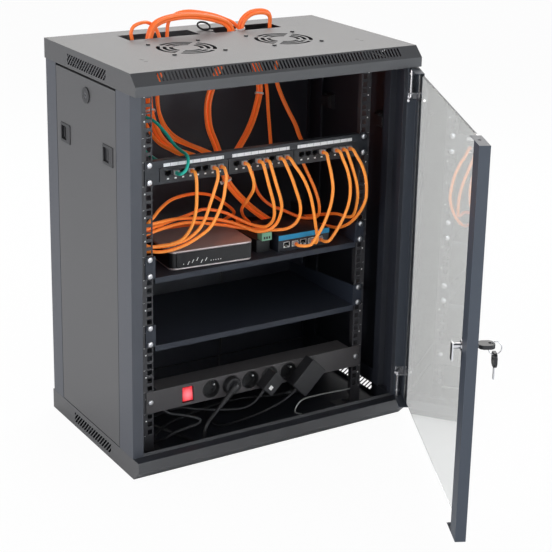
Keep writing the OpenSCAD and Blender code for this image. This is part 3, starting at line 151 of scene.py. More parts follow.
# %% [markdown]
# A cord leaves its plug or its module straight before it bends, so each route starts and ends
# with two points in line. The route could be a Bezier curve with handles, but points that it
# passes through are easier to read off a real bundle. A smooth curve through them is sampled
# closely: a real jacket has no corners.
# %% Route ends and smoothing
def leave(at, away):
    return [[at[0], at[1] + away * out, at[2]] for out in (PLUG_OUT, PLUG_OUT + STUB)]


def arrive(at, away):
    return leave(at, away)[::-1]


def from_back(x, z):
    return [[x, MODULE_BACK, z], [x, MODULE_BACK + STUB, z]]


def to_back(x, z):
    return from_back(x, z)[::-1]


def smooth_line(route, step):
    """Points in metres along a smooth curve through a route, about one every step millimetres."""
    p = [Vector(q) for q in route]
    line = []
    for k in range(len(p) - 1):
        a, b, c, d = p[max(k - 1, 0)], p[k], p[k + 1], p[min(k + 2, len(p) - 1)]
        count = max(1, round((c - b).length / step))
        for i in range(count):
            t = i / count
            line.append((2 * b + (c - a) * t + (2 * a - 5 * b + 4 * c - d) * t ** 2
                         + (3 * b - a - 3 * c + d) * t ** 3) / 2)
    line.append(p[-1])
    return [metres(q) for q in line]


print("port 12's lead starts along", leave(port_at(12), FORWARD))

# %% [markdown]
# The mains leads start at the slanted plug and adapters in the power strip's outlets, which
# all lie at 45 degrees, so their first points are worked out from the outlet's centre.
# %% Ends on the power strip and the router
OUTLET_X0, OUTLET_PITCH, STRIP_MID, STRIP_FACE = -102.0, 43.4, 112.675, 84.2
DIAGONAL = math.sqrt(0.5)
SOCKET_RISE, LAST_REACH, PLAY = 12, 14, 0.3


def outlet_point(i, along, out):
    return [OUTLET_X0 + OUTLET_PITCH * i + along * DIAGONAL, STRIP_FACE - out, STRIP_MID + along * DIAGONAL]


def slant_from(i, along, out, length):
    return [outlet_point(i, along, out), outlet_point(i, along - length, out)]


def router_socket(x):
    at = router_back(x, SOCKET_RISE)
    return [at[0], at[1] + ROUTER_GAP, at[2]]


def into(at):
    return [[at[0], at[1] + out, at[2]] for out in (LAST_REACH, PLAY)]


print("lead leaves the strip at", [round(v) for v in outlet_point(1, -47, 16)])

# %% [markdown]
# The routes themselves. Front leads hang from the patch panel in loose arcs, and several of
# them sweep over the router and back. The teal lead climbs over the panel to its back, and the
# sagging lead hangs behind it.
# %% Routes of the network leads
ROUTES = {
    "front_lead_4": leave(port_at(4), FORWARD) + [
        [-150, 59, 540], [-149, 60, 514], [-149, 62, 487], [-152, 67, 460], [-160, 74, 438],
        [-172, 79, 425], [-190, 84, 419], [-207, 90, 417], [-222, 94, 416], [-235, 95, 421],
        [-240, 96, 436], [-232, 98, 456], [-212, 105, 470], [-193, 118, 478], [-160, 140, 484],
        [-117, 165, 481], [-74, 185, 473], [-37, 200, 459], [-4, 218, 437], [34, 240, 405],
        [26, 258, 388], [4, 264, 375], [-14, 256, 371]
    ] + arrive(router_socket(60), BACKWARD),
    "front_lead_7": leave(port_at(7), FORWARD) + [
        [-106, 59, 540], [-112, 60, 518], [-120, 61, 494], [-128, 66, 464], [-138, 73, 442],
        [-156, 81, 425], [-175, 88, 417], [-194, 95, 413], [-214, 105, 411], [-232, 119, 410],
        [-241, 150, 399], [-246, 200, 388], [-244, 255, 390], [-222, 288, 398], [-180, 300, 386],
        [-100, 304, 372], [0, 300, 366], [56, 276, 366]
    ] + arrive(back_at(76, 8), BACKWARD),
    "front_lead_8": leave(port_at(8), FORWARD) + [
        [-88, 59, 540], [-91, 58, 522], [-95, 58, 498], [-106, 61, 468], [-118, 66, 445],
        [-138, 73, 428], [-160, 80, 415], [-186, 86, 407], [-208, 94, 404], [-226, 106, 404],
        [-240, 132, 390], [-256, 190, 376], [-256, 250, 378], [-240, 292, 388], [-218, 308, 396],
        [-170, 316, 382], [-60, 316, 366], [40, 306, 364], [84, 276, 366]
    ] + arrive(back_at(92, 8), BACKWARD),
    "front_lead_10": leave(port_at(10), FORWARD) + [
        [-35, 60, 540], [-28, 62, 522], [-21, 76, 500], [-13, 110, 471], [6, 162, 438],
        [44, 224, 404], [60, 240, 388]
    ] + arrive(back_at(62, 24), BACKWARD),
    "front_lead_12": leave(port_at(12), FORWARD) + [
        [-5, 60, 540], [4, 60, 510], [15, 65, 483], [24, 73, 462], [30, 82, 441],
        [31, 93, 425], [26, 106, 414], [18, 121, 412], [6, 133, 415], [-10, 145, 423],
        [-36, 160, 437], [-74, 165, 447], [-98, 160, 446], [-125, 152, 444], [-160, 136, 445],
        [-195, 118, 446], [-220, 112, 445], [-236, 121, 439], [-242, 150, 430], [-240, 190, 418],
        [-226, 228, 404], [-196, 246, 391], [-164, 248, 377]
    ] + arrive(router_socket(-60), BACKWARD),
    "front_lead_13": leave(port_at(13), FORWARD) + [
        [10, 60, 540], [20, 59, 509], [31, 63, 483], [39, 70, 462], [42, 79, 443],
        [41, 89, 424], [31, 100, 409], [14, 112, 404], [0, 124, 408], [-22, 139, 418],
        [-50, 148, 427], [-80, 150, 434], [-112, 143, 441], [-150, 127, 450], [-178, 114, 455],
        [-206, 106, 456], [-228, 110, 453], [-240, 126, 446], [-252, 160, 434], [-252, 205, 418],
        [-230, 250, 404], [-195, 266, 391], [-130, 266, 376]
    ] + arrive(router_socket(-20), BACKWARD),
    "front_lead_15": leave(port_at(15), FORWARD) + [
        [43, 59, 540], [53, 58, 518], [65, 60, 490], [76, 64, 464], [82, 72, 441],
        [80, 83, 420], [67, 93, 408], [47, 106, 404], [28, 121, 404], [10, 134, 404],
        [-14, 142, 408], [-40, 147, 415], [-70, 142, 423], [-100, 137, 432], [-130, 129, 439],
        [-160, 120, 442], [-190, 111, 442], [-216, 105, 440], [-234, 112, 433], [-241, 132, 424],
        [-258, 172, 412], [-258, 225, 404], [-234, 268, 402], [-195, 284, 388], [-110, 286, 373],
        [-76, 266, 371]
    ] + arrive(router_socket(20), BACKWARD),
    "front_lead_16": leave(port_at(16), FORWARD) + [
        [59, 58, 542], [70, 55, 526], [82, 54, 505], [92, 54, 482], [101, 58, 458],
        [110, 65, 434], [119, 73, 411], [125, 78, 396], [127, 78, 382]
    ] + arrive(front_at(3), FORWARD),
    "front_lead_20": leave(port_at(20), FORWARD) + [
        [135, 59, 540], [141, 57, 514], [145, 56, 486], [143, 58, 457], [137, 61, 432],
        [128, 63, 410], [117, 65, 392], [104, 67, 376]
    ] + arrive(front_at(1), FORWARD),
    "front_lead_22": leave(port_at(22), FORWARD) + [
        [168, 58, 540], [177, 55, 517], [184, 55, 489], [185, 57, 459], [181, 63, 431],
        [172, 70, 404], [160, 73, 384], [150, 73, 375]
    ] + arrive(front_at(4), FORWARD),
    "front_lead_23": leave(port_at(23), FORWARD) + [
        [183, 59, 540], [191, 56, 516], [199, 56, 492], [205, 59, 469], [209, 66, 446],
        [212, 81, 417], [214, 106, 406], [213, 140, 403], [206, 170, 395], [190, 205, 384],
        [170, 236, 374]
    ] + arrive(back_at(150, 8), BACKWARD),
    "front_lead_24": leave(port_at(24), FORWARD) + [
        [199, 57, 543], [208, 53, 526], [217, 52, 502], [222, 54, 478], [225, 60, 451],
        [221, 74, 422], [212, 93, 397], [206, 124, 380], [204, 175, 371], [196, 218, 366],
        [170, 258, 366], [144, 250, 367]
    ] + arrive(back_at(132, 8), BACKWARD),
    "teal_lead": leave(port_at(2), FORWARD) + [
        [-172, 60, 562], [-163, 67, 575], [-158, 82, 584], [-158, 104, 587], [-159, 126, 592],
        [-165, 150, 610], [-178, 176, 630], [-194, 205, 632], [-199, 214, 604], [-190, 188, 572],
        [-182, 152, 560]
    ] + to_back(-180, 556),
    "sagging_lead": from_back(109, 552) + [
        [116, 128, 535], [130, 126, 505], [146, 122, 470], [159, 124, 436], [166, 136, 408],
        [160, 154, 398], [144, 171, 398], [117, 190, 411], [94, 201, 422], [70, 206, 447],
        [56, 206, 483], [44, 192, 518], [32, 168, 543], [26, 145, 551]
    ] + to_back(22, 552),
}
print(len(ROUTES), "network leads")

# %% [markdown]
# The trunk cables rise behind the panel, leave through one of the roof's two cable entries and
# come back through the same one or the other. Two of these routes are the middle line of a
# tied bundle.
# %% Routes of the trunk cables
ROUTES |= {
    "bundle_three": from_back(-95, 553) + [
        [-95, 145, 553], [-96, 168, 553], [-100, 190, 553], [-108, 208, 555], [-117, 230, 562],
        [-123, 252, 574], [-125, 272, 592], [-124, 293, 616], [-120, 308, 644], [-118, 314, 680],
        [-116, 316, 720], [-114, 316, 752], [-107, 316, 772], [-96, 316, 782], [-78, 316, 788],
        [-54, 316, 791], [-26, 316, 791], [4, 316, 787], [32, 316, 780], [54, 316, 771],
        [66, 316, 757], [58, 316, 728], [44, 315, 694], [27, 314, 654], [14, 311, 620],
        [8, 303, 592], [6, 290, 565], [5, 262, 538], [-3, 222, 508], [-2, 208, 484],
        [20, 212, 456], [55, 225, 423], [84, 238, 400], [102, 240, 386]
    ] + [[108, 225, 380.65], [108, 217.3, 380.65]],
    "bundle_two": from_back(-8, 553) + [
        [-7, 145, 550], [-2, 175, 542], [8, 202, 534], [22, 222, 531], [46, 245, 536],
        [80, 272, 555], [104, 290, 577], [120, 302, 601], [130, 310, 623], [131, 314, 645],
        [116, 316, 691], [97, 316, 738], [88, 316, 756], [90, 316, 768], [98, 316, 778],
        [112, 316, 786], [132, 316, 788], [149, 316, 784], [157, 318, 774], [158, 320, 757],
        [160, 319, 730], [172, 316, 686], [173, 314, 645], [183, 311, 614], [195, 303, 583],
        [205, 290, 555], [206, 268, 528], [199, 225, 522], [191, 170, 538], [189, 145, 550]
    ] + to_back(188, 552),
    "loop_crossing": from_back(84, 553) + [
        [86, 145, 548], [94, 182, 536], [104, 215, 530], [119, 245, 540], [132, 272, 565],
        [141, 293, 595], [146, 306, 626], [146, 314, 646], [139, 326, 672], [124, 331, 709],
        [102, 331, 742], [90, 331, 757], [78, 331, 768], [58, 330, 777], [34, 330, 786],
        [5, 330, 793], [-22, 330, 797], [-44, 330, 795], [-58, 330, 788], [-65, 331, 777],
        [-67, 331, 764], [-68, 331, 750], [-74, 331, 710], [-86, 329, 660], [-94, 322, 625],
        [-92, 305, 592], [-84, 280, 570], [-70, 245, 558], [-61, 200, 555], [-60, 150, 555]
    ] + to_back(-60, 555),
    "loop_left": from_back(-116, 557) + [
        [-117, 160, 558], [-126, 205, 561], [-134, 236, 567], [-139, 262, 582], [-139, 286, 604],
        [-136, 304, 650], [-143, 312, 700], [-150, 316, 752], [-152, 316, 768], [-146, 316, 779],
        [-132, 316, 784], [-112, 328, 782], [-95, 332, 772], [-86, 330, 754], [-86, 318, 720],
        [-98, 308, 680], [-106, 298, 650], [-110, 284, 616], [-110, 262, 589], [-104, 238, 573],
        [-91, 212, 566], [-80, 180, 562], [-78, 145, 558]
    ] + to_back(-78, 557),
}
print(len(ROUTES), "routes with the trunk cables")

# %% [markdown]
# The mains leads and the earth lead lie low in the base, and three of them climb the side or
# the back to the fans, the router and the switch's converter.
# %% Routes of the power leads
ROUTES |= {
    "fan_lead": slant_from(1, -47, 16, 12) + [
        [-112, 65, 63], [-124, 61, 54], [-129, 61, 38], [-129, 66, 20], [-133, 84, 8],
        [-145, 130, 6], [-172, 205, 6], [-215, 290, 6], [-250, 332, 16], [-262, 342, 50],
        [-264, 342, 120], [-264, 342, 260], [-264, 342, 400], [-262, 336, 560], [-246, 320, 660],
        [-216, 296, 706], [-176, 274, 732], [-142, 262, 738]
    ] + [[-125, 250, 738], [-125, 242, 738]],
    "router_lead": slant_from(3, -30, 14.3, 8) + [
        [-14, 72, 70], [-36, 79, 60], [-80, 90, 62], [-127, 101, 70], [-150, 112, 74],
        [-174, 128, 66], [-198, 156, 46], [-216, 205, 24], [-236, 270, 14], [-248, 316, 24],
        [-252, 328, 60], [-252, 328, 140], [-252, 328, 240], [-252, 328, 330], [-244, 334, 380],
        [-214, 338, 399], [-176, 322, 405], [-150, 294, 402], [-132, 262, 391]
    ] + into(router_back(-36, 26)),
    "converter_lead": slant_from(5, -48, 14.3, 8) + [
        [54, 73, 58], [24, 80, 44], [-4, 87, 34], [-36, 98, 24], [-56, 122, 11],
        [-60, 160, 5], [-40, 220, 5], [10, 290, 5], [54, 338, 14], [67, 351, 46],
        [70, 351, 120], [70, 351, 220], [69, 349, 320], [66, 337, 378], [57, 312, 392],
        [48, 284, 392], [42, 250, 381], [34, 226, 373]
    ] + [[29, 208, 371.65], [29, 200, 371.65]],
    "strip_lead": [[-195, 106.2, 90.75], [-195, 106.2, 82.75]] + [
        [-183, 99, 74], [-164, 91, 70], [-143, 83, 64], [-129, 78, 57], [-136, 78, 50],
        [-154, 81, 46], [-182, 87, 38], [-202, 96, 24], [-206, 118, 14], [-192, 144, 13],
        [-160, 166, 16], [-115, 184, 16], [-50, 203, 14], [10, 212, 13], [70, 210, 9],
        [110, 200, 8]
    ] + [[130, 196, 8], [140, 196, 8]],
    "earth_lead": [
        [112, 96, 1.5], [112, 95, 7], [100, 84, 15], [85, 76, 26], [88, 75, 39],
        [106, 80, 47], [148, 90, 43], [186, 97, 38], [220, 98, 36], [245, 98, 36]
    ],
}
print(len(ROUTES), "routes")

# %% [markdown]
# Cables tied in a bundle keep their place beside each other all the way. Their lines are
# offset from the bundle's own line in a frame that is carried along without twisting: at
# each step the old side direction is only squared to the new direction of travel.
# %% Tied bundles
TIED_GAP = 0.4
BUNDLE_GAP = (TRUNK_D + TIED_GAP) / 1000
THREE = [(BUNDLE_GAP / math.sqrt(3) * math.cos(a), BUNDLE_GAP / math.sqrt(3) * math.sin(a))
         for a in map(math.radians, (90, 210, 330))]
TWO = [(0, BUNDLE_GAP / 2), (0, -BUNDLE_GAP / 2)]
BESIDE = {"bundle_three": THREE, "bundle_two": TWO}


def travel(line, i):
    return (line[min(i + 1, len(line) - 1)] - line[max(i - 1, 0)]).normalized()


def square_to(v, t):
    return (v - v.dot(t) * t).normalized()


def beside(line, a, b):
    t = travel(line, 0)
    side = square_to(Vector((0, 0, 1)) if abs(t.z) < 0.8 else Vector((0, 1, 0)), t)
    moved = []
    for i, point in enumerate(line):
        t = travel(line, i)
        side = square_to(side, t)
        moved.append(point + a * side + b * t.cross(side))
    return moved


print("three cables lie", round(math.hypot(*THREE[0]) * 1000, 2), "mm from their bundle's middle")


def cord_curve(name, line, diameter):
    """The radius is kept on the points, so that the curve's box is the cord's own."""
    curve = bpy.data.curves.new(name, "CURVE")
    curve.dimensions = "3D"
    curve.bevel_depth = 1          # the points' own radius does the sizing
    curve.bevel_resolution = 3
    curve.use_fill_caps = True
    spline = curve.splines.new("POLY")
    spline.points.add(len(line) - 1)
    for point, place in zip(spline.points, line):
        point.co = (*place, 1)
        point.radius = diameter / 2000
    spline.use_smooth = True
    piece = in_scene(name, curve)
    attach(piece, "cabinet")
    return piece


def free_cord(name, line, diameter, node):
    piece = cord_curve(name, line, diameter)
    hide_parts(node)
    return piece


LEAD_D = {"fan_lead": 7, "strip_lead": 6, "earth_lead": 3}
ADAPTER_LEAD_D = 4.5
LEAD_STEP, TRUNK_STEP = 5, 6
orange_cords, trunk_cables, black_leads = [], [], []
for name, route in ROUTES.items():
    if name.startswith(("front", "teal", "sagging")):
        line = smooth_line(route, LEAD_STEP)
        orange_cords.append(free_cord(name, line, PATCH_D, "patch_cords"))
    elif name.startswith(("bundle", "loop")):
        line = smooth_line(route, TRUNK_STEP)
        for k, (a, b) in enumerate(BESIDE.get(name, [(0, 0)])):
            trunk_cables.append(free_cord(f"trunk_{name}_{k + 1}", beside(line, a, b), TRUNK_D,
                                          "trunk_cords"))
    else:
        line, diameter = smooth_line(route, LEAD_STEP), LEAD_D.get(name, ADAPTER_LEAD_D)
        black_leads.append(free_cord(name, line, diameter, "power_leads"))
teal_lead = next(p for p in orange_cords if p.name == "teal_lead")
earth_lead = next(p for p in black_leads if p.name == "earth_lead")
print(len(orange_cords), "leads,", len(trunk_cables), "trunk cables,", len(black_leads), "power leads")

# %% [markdown]
# ## Stage and light
# A cabinet like this is easiest to judge on white. The world shows plain white to the camera,
# to mirrors and through glass, but lights the object with a much weaker grey, so the white
# never washes out the paint. Mirrors see the white fall off towards the zenith, which keeps
# sloping folds darker than the flat roof. Three large soft lamps do the modelling: one over
# the back, a neutral one on the left side, and a cooler one on the front.
# The world and the finishes are made of shader nodes, so a few helpers come first.
# %% Node helpers
def fill(tree, node, **inputs):
    """Sets a node's inputs. A name like _1 is a socket's number, and any other name is its label."""
    for key, value in inputs.items():
        socket = node.inputs[int(key[1:]) if key[1:].isdigit() else key.replace("_", " ")]
        if isinstance(value, bpy.types.NodeSocket):
            tree.links.new(value, socket)
        else:
            socket.default_value = value
    return node


def add_node(tree, kind, settings=(), **inputs):
    """A new node with the given settings, its own properties, and with its inputs filled."""
    node = tree.nodes.new(kind)
    for key, value in dict(settings).items():
        setattr(node, key, value)
    return fill(tree, node, **inputs)


def math_node(tree, operation, first, second=None, clamp=False):
    given = {"_0": first} if second is None else {"_0": first, "_1": second}
    settings = {"operation": operation, "use_clamp": clamp}
    return add_node(tree, "ShaderNodeMath", settings, **given).outputs[0]


def axis_of(tree, vector, axis):
    return add_node(tree, "ShaderNodeSeparateXYZ", _0=vector).outputs[axis]


def object_place(tree):
    return add_node(tree, "ShaderNodeTexCoord").outputs["Object"]


def seen_directly(tree, path):
    """1 for what the camera sees, straight or through glass."""
    return math_node(tree, "MAXIMUM", path.outputs["Is Camera Ray"], path.outputs["Is Transmission Ray"])


print("node helpers ready")

# %% [markdown]
# The world could be a picture of a studio, but two whites mixed by the kind of ray are simpler
# and can be tuned apart.
# %% World and lamps
WHITE, COOL_WHITE = (1, 1, 1, 1), (0.95, 0.97, 1, 1)
FALL_FROM, FALL_TO = 0.3, 0.75


def white_world(ambient, zenith):
    world = bpy.data.worlds.new("studio")
    bpy.context.scene.world = world
    world.use_nodes = True
    tree = world.node_tree
    tree.nodes.clear()
    path = add_node(tree, "ShaderNodeLightPath")
    height = axis_of(tree, add_node(tree, "ShaderNodeTexCoord").outputs["Generated"], "Z")
    fall = add_node(tree, "ShaderNodeMapRange", Value=height, From_Min=FALL_FROM, From_Max=FALL_TO,
                    To_Min=1, To_Max=zenith)
    lit = add_node(tree, "ShaderNodeBackground", Color=COOL_WHITE, Strength=ambient)
    mirrored = add_node(tree, "ShaderNodeBackground", Color=WHITE, Strength=fall.outputs[0])
    shown = add_node(tree, "ShaderNodeBackground", Color=WHITE, Strength=1)
    unseen = add_node(tree, "ShaderNodeMixShader", Fac=path.outputs["Is Glossy Ray"], _1=lit.outputs[0],
                      _2=mirrored.outputs[0])
    either = add_node(tree, "ShaderNodeMixShader", Fac=seen_directly(tree, path), _1=unseen.outputs[0],
                      _2=shown.outputs[0])
    add_node(tree, "ShaderNodeOutputWorld", Surface=either.outputs[0])


def area_lamp(name, at, towards, size, watts, colour):
    lamp = bpy.data.lights.new(name, "AREA")
    lamp.shape = "RECTANGLE"
    lamp.size, lamp.size_y = size
    lamp.energy = watts
    lamp.color = colour
    holder = in_scene(name, lamp)
    holder.location = at
    holder.rotation_euler = (Vector(towards) - Vector(at)).to_track_quat("-Z", "Y").to_euler()


bpy.context.scene.view_settings.view_transform = "Standard"
white_world(ambient=0.62, zenith=0.05)
area_lamp("overhead", (1.0, 1.4, 2.1), (0.1, 0, 0.7), (2.2, 1.8), 35, (1, 0.98, 0.96))
area_lamp("left_side", (-2.8, -0.4, 0.7), (0, 0, 0.4), (1.8, 1.4), 56, (1, 0.99, 0.98))
area_lamp("front", (0.9, -3.2, 0.8), (0, 0, 0.35), (2.0, 1.4), 44, (0.86, 0.93, 1))
print("lamps set")

# %% [markdown]
# The ground is a plain white sheet. It adds white of its own for the camera, so it melts into
# the background, and what is left of its diffuse part keeps a faint shadow under the base.
# %% Ground
GLOW_SHARE, PAPER_WHITE = 0.95, (0.86, 0.86, 0.86, 1)
GROUND_REACH, GROUND_DROP = 9, 0.0005


def new_material(name):
    material = bpy.data.materials.new(name)
    material.use_nodes = True
    return material, material.node_tree


def ground_material():
    material, tree = new_material("ground")
    tree.nodes.clear()
    seen = seen_directly(tree, add_node(tree, "ShaderNodeLightPath"))
    paper = add_node(tree, "ShaderNodeBsdfDiffuse", Color=PAPER_WHITE)
    glow = add_node(tree, "ShaderNodeEmission", Color=WHITE, Strength=1)
    mix = add_node(tree, "ShaderNodeMixShader", Fac=math_node(tree, "MULTIPLY", seen, GLOW_SHARE),
                   _1=paper.outputs[0], _2=glow.outputs[0])
    add_node(tree, "ShaderNodeOutputMaterial", Surface=mix.outputs[0])
    return material


def add_ground():
    mesh = bpy.data.meshes.new("ground")
    r = GROUND_REACH
    mesh.from_pydata([(-r, -r, 0), (r, -r, 0), (r, r, 0), (-r, r, 0)], [], [(0, 1, 2, 3)])
    mesh.materials.append(ground_material())
    ground = in_scene("ground", mesh)
    ground.location.z = -GROUND_DROP


add_ground()
print("ground laid")

# %% [markdown]
# ## Finishes
# Powder coat, moulded plastic and plated steel differ mostly in how they scatter light and in
# how they age. Painted image maps could show that, but noise works at any size and needs no
# unwrapping. These helpers mix colours, work on vectors and place a noise.
# %% Colour helpers
def mix_colour(tree, factor, first, second):
    first, second = ((*c, 1) if isinstance(c, tuple) else c for c in (first, second))
    return add_node(tree, "ShaderNodeMix", {"data_type": "RGBA"}, _0=factor, _6=first, _7=second).outputs[2]


def vector_node(tree, operation, first, second):
    return add_node(tree, "ShaderNodeVectorMath", {"operation": operation}, _0=first, _1=second)


def noise(tree, vector, scale, detail):
    return add_node(tree, "ShaderNodeTexNoise", Vector=vector, Scale=scale, Detail=detail).outputs[0]


print("colour helpers ready")

# %% [markdown]
# One node group makes what the finishes share: broad mottling, a fine grain for the bump, a
# little settled dust on faces that look up, and rubbing along edges. The edge mask compares
# the true normal with one that a Bevel node has rounded. Shell parts also get painted shade:
# their faces that look into the cabinet, found from whether a face's normal points at the
# middle, are darkened towards a near-black. Each material places the group and keeps its own shader.
# %% The surface group
WORN_RADIUS, EDGE_GAIN = 0.0012, 5
CABINET_MIDDLE = (0, 0, 0.38)
# The second colour is the near-black of the painted shade on faces that look into the cabinet.
DUST_COLOUR, INSIDE_SHADE_COLOUR = (0.55, 0.53, 0.5), (0.008, 0.010, 0.017)
BROAD, PATCHES, GRAIN_DETAIL = (7, 5), (60, 3), 2
PATCH_GAIN, GRAIN_SWING, LOOKS_UP, ROUGH_SWING = 1.6, 0.35, 0.8, 0.5
GROUP_SOCKETS = {"INPUT": {"Colour": "Color", "Edge Colour": "Color", "Edge Wear": "Float", "Mottle": "Float",
                           "Dust": "Float", "Grain Scale": "Float", "Roughness": "Float",
                           "Inside Shade": "Float"},
                 "OUTPUT": {"Colour": "Color", "Roughness": "Float", "Height": "Float"}}


def add_sockets(tree, wanted):
    for side, sockets in wanted.items():
        for name, kind in sockets.items():
            tree.interface.new_socket(name=name, in_out=side, socket_type="NodeSocket" + kind)


def surface_group():
    group = bpy.data.node_groups.new("worn_surface", "ShaderNodeTree")
    add_sockets(group, GROUP_SOCKETS)

    def calc(operation, first, second, clamp=False):
        return math_node(group, operation, first, second, clamp)

    given = add_node(group, "NodeGroupInput").outputs
    place = object_place(group)
    normal = add_node(group, "ShaderNodeNewGeometry").outputs["Normal"]
    rounded = add_node(group, "ShaderNodeBevel", {"samples": 4}, Radius=WORN_RADIUS).outputs["Normal"]
    agree = vector_node(group, "DOT_PRODUCT", normal, rounded).outputs["Value"]
    edge = calc("MULTIPLY", calc("SUBTRACT", 1, agree), EDGE_GAIN, True)
    broad, fine = noise(group, place, *BROAD), noise(group, place, given["Grain Scale"], GRAIN_DETAIL)
    patchy = calc("MULTIPLY", edge, calc("MULTIPLY", noise(group, place, *PATCHES), PATCH_GAIN), True)
    worn = calc("MULTIPLY", patchy, given["Edge Wear"], True)
    swing = calc("MULTIPLY", calc("SUBTRACT", broad, 0.5), given["Mottle"])
    shade = calc("ADD", swing, calc("MULTIPLY", calc("SUBTRACT", fine, 0.5), GRAIN_SWING))
    bright = add_node(group, "ShaderNodeHueSaturation", Value=calc("ADD", shade, 1), Color=given["Colour"])
    facing_up = calc("MULTIPLY", calc("GREATER_THAN", axis_of(group, normal, "Z"), LOOKS_UP), broad)
    dusty = mix_colour(group, calc("MULTIPLY", facing_up, given["Dust"]), bright.outputs[0], DUST_COLOUR)
    worn_through = mix_colour(group, worn, dusty, given["Edge Colour"])
    # Painted shade: faces whose normal points towards the cabinet's middle are darkened towards that
    # near-black, by the Inside Shade share.
    outward = vector_node(group, "SUBTRACT", place, CABINET_MIDDLE).outputs[0]
    away = vector_node(group, "DOT_PRODUCT", outward, normal).outputs["Value"]
    painted_inward_shade = calc("MULTIPLY", calc("LESS_THAN", away, 0), given["Inside Shade"])
    add_node(group, "NodeGroupOutput", Colour=mix_colour(group, painted_inward_shade, worn_through, INSIDE_SHADE_COLOUR),
             Roughness=calc("ADD", given["Roughness"], calc("MULTIPLY", shade, ROUGH_SWING), True),
             Height=fine)
    return group


surface = surface_group()
print("surface group has", len(surface.nodes), "nodes")

# %% [markdown]
# A finish is a Principled shader fed by that group through a Bump node. Uniform values such
# as metal or coat are typed straight into the shader's sockets. A finish can be opened again
# to work on the colour that its group gives.
# %% Making a finish
MOTTLE, COAT_ROUGHNESS, GRAIN_HEIGHT = 0.12, 0.12, 0.0003


# A finish's last argument is its share of painted shade on faces that look into the cabinet.
def finish(name, colour, roughness=0.5, metal=0.0, grain=900, bump=0.15, dust=0.05, wear=0.25,
           coat=0.0, specular=0.5, inside=0.0):
    material, tree = new_material(name)
    edge = [min(1, c * 1.8 + 0.05) for c in colour]
    skin = add_node(tree, "ShaderNodeGroup", {"node_tree": surface}, Colour=(*colour, 1),
                    Edge_Colour=(*edge, 1), Edge_Wear=wear, Mottle=MOTTLE, Dust=dust, Grain_Scale=grain,
                    Roughness=roughness, Inside_Shade=inside).outputs
    raised = add_node(tree, "ShaderNodeBump", Strength=bump, Distance=GRAIN_HEIGHT, Height=skin["Height"])
    fill(tree, tree.nodes["Principled BSDF"], Metallic=metal, Coat_Weight=coat,
         Coat_Roughness=COAT_ROUGHNESS, Specular_IOR_Level=specular, Base_Color=skin["Colour"],
         Roughness=skin["Roughness"], Normal=raised.outputs["Normal"])
    return material


def opened(material):
    """A finish's tree, its shader and the colour that feeds it."""
    shader = material.node_tree.nodes["Principled BSDF"]
    return material.node_tree, shader, shader.inputs["Base Color"].links[0].from_socket


def band_mask(tree, value, middle, half):
    """1 where a value is within half of the middle, and 0 elsewhere."""
    away = math_node(tree, "ABSOLUTE", math_node(tree, "SUBTRACT", value, middle))
    return math_node(tree, "LESS_THAN", away, half)


print("finish helpers ready")

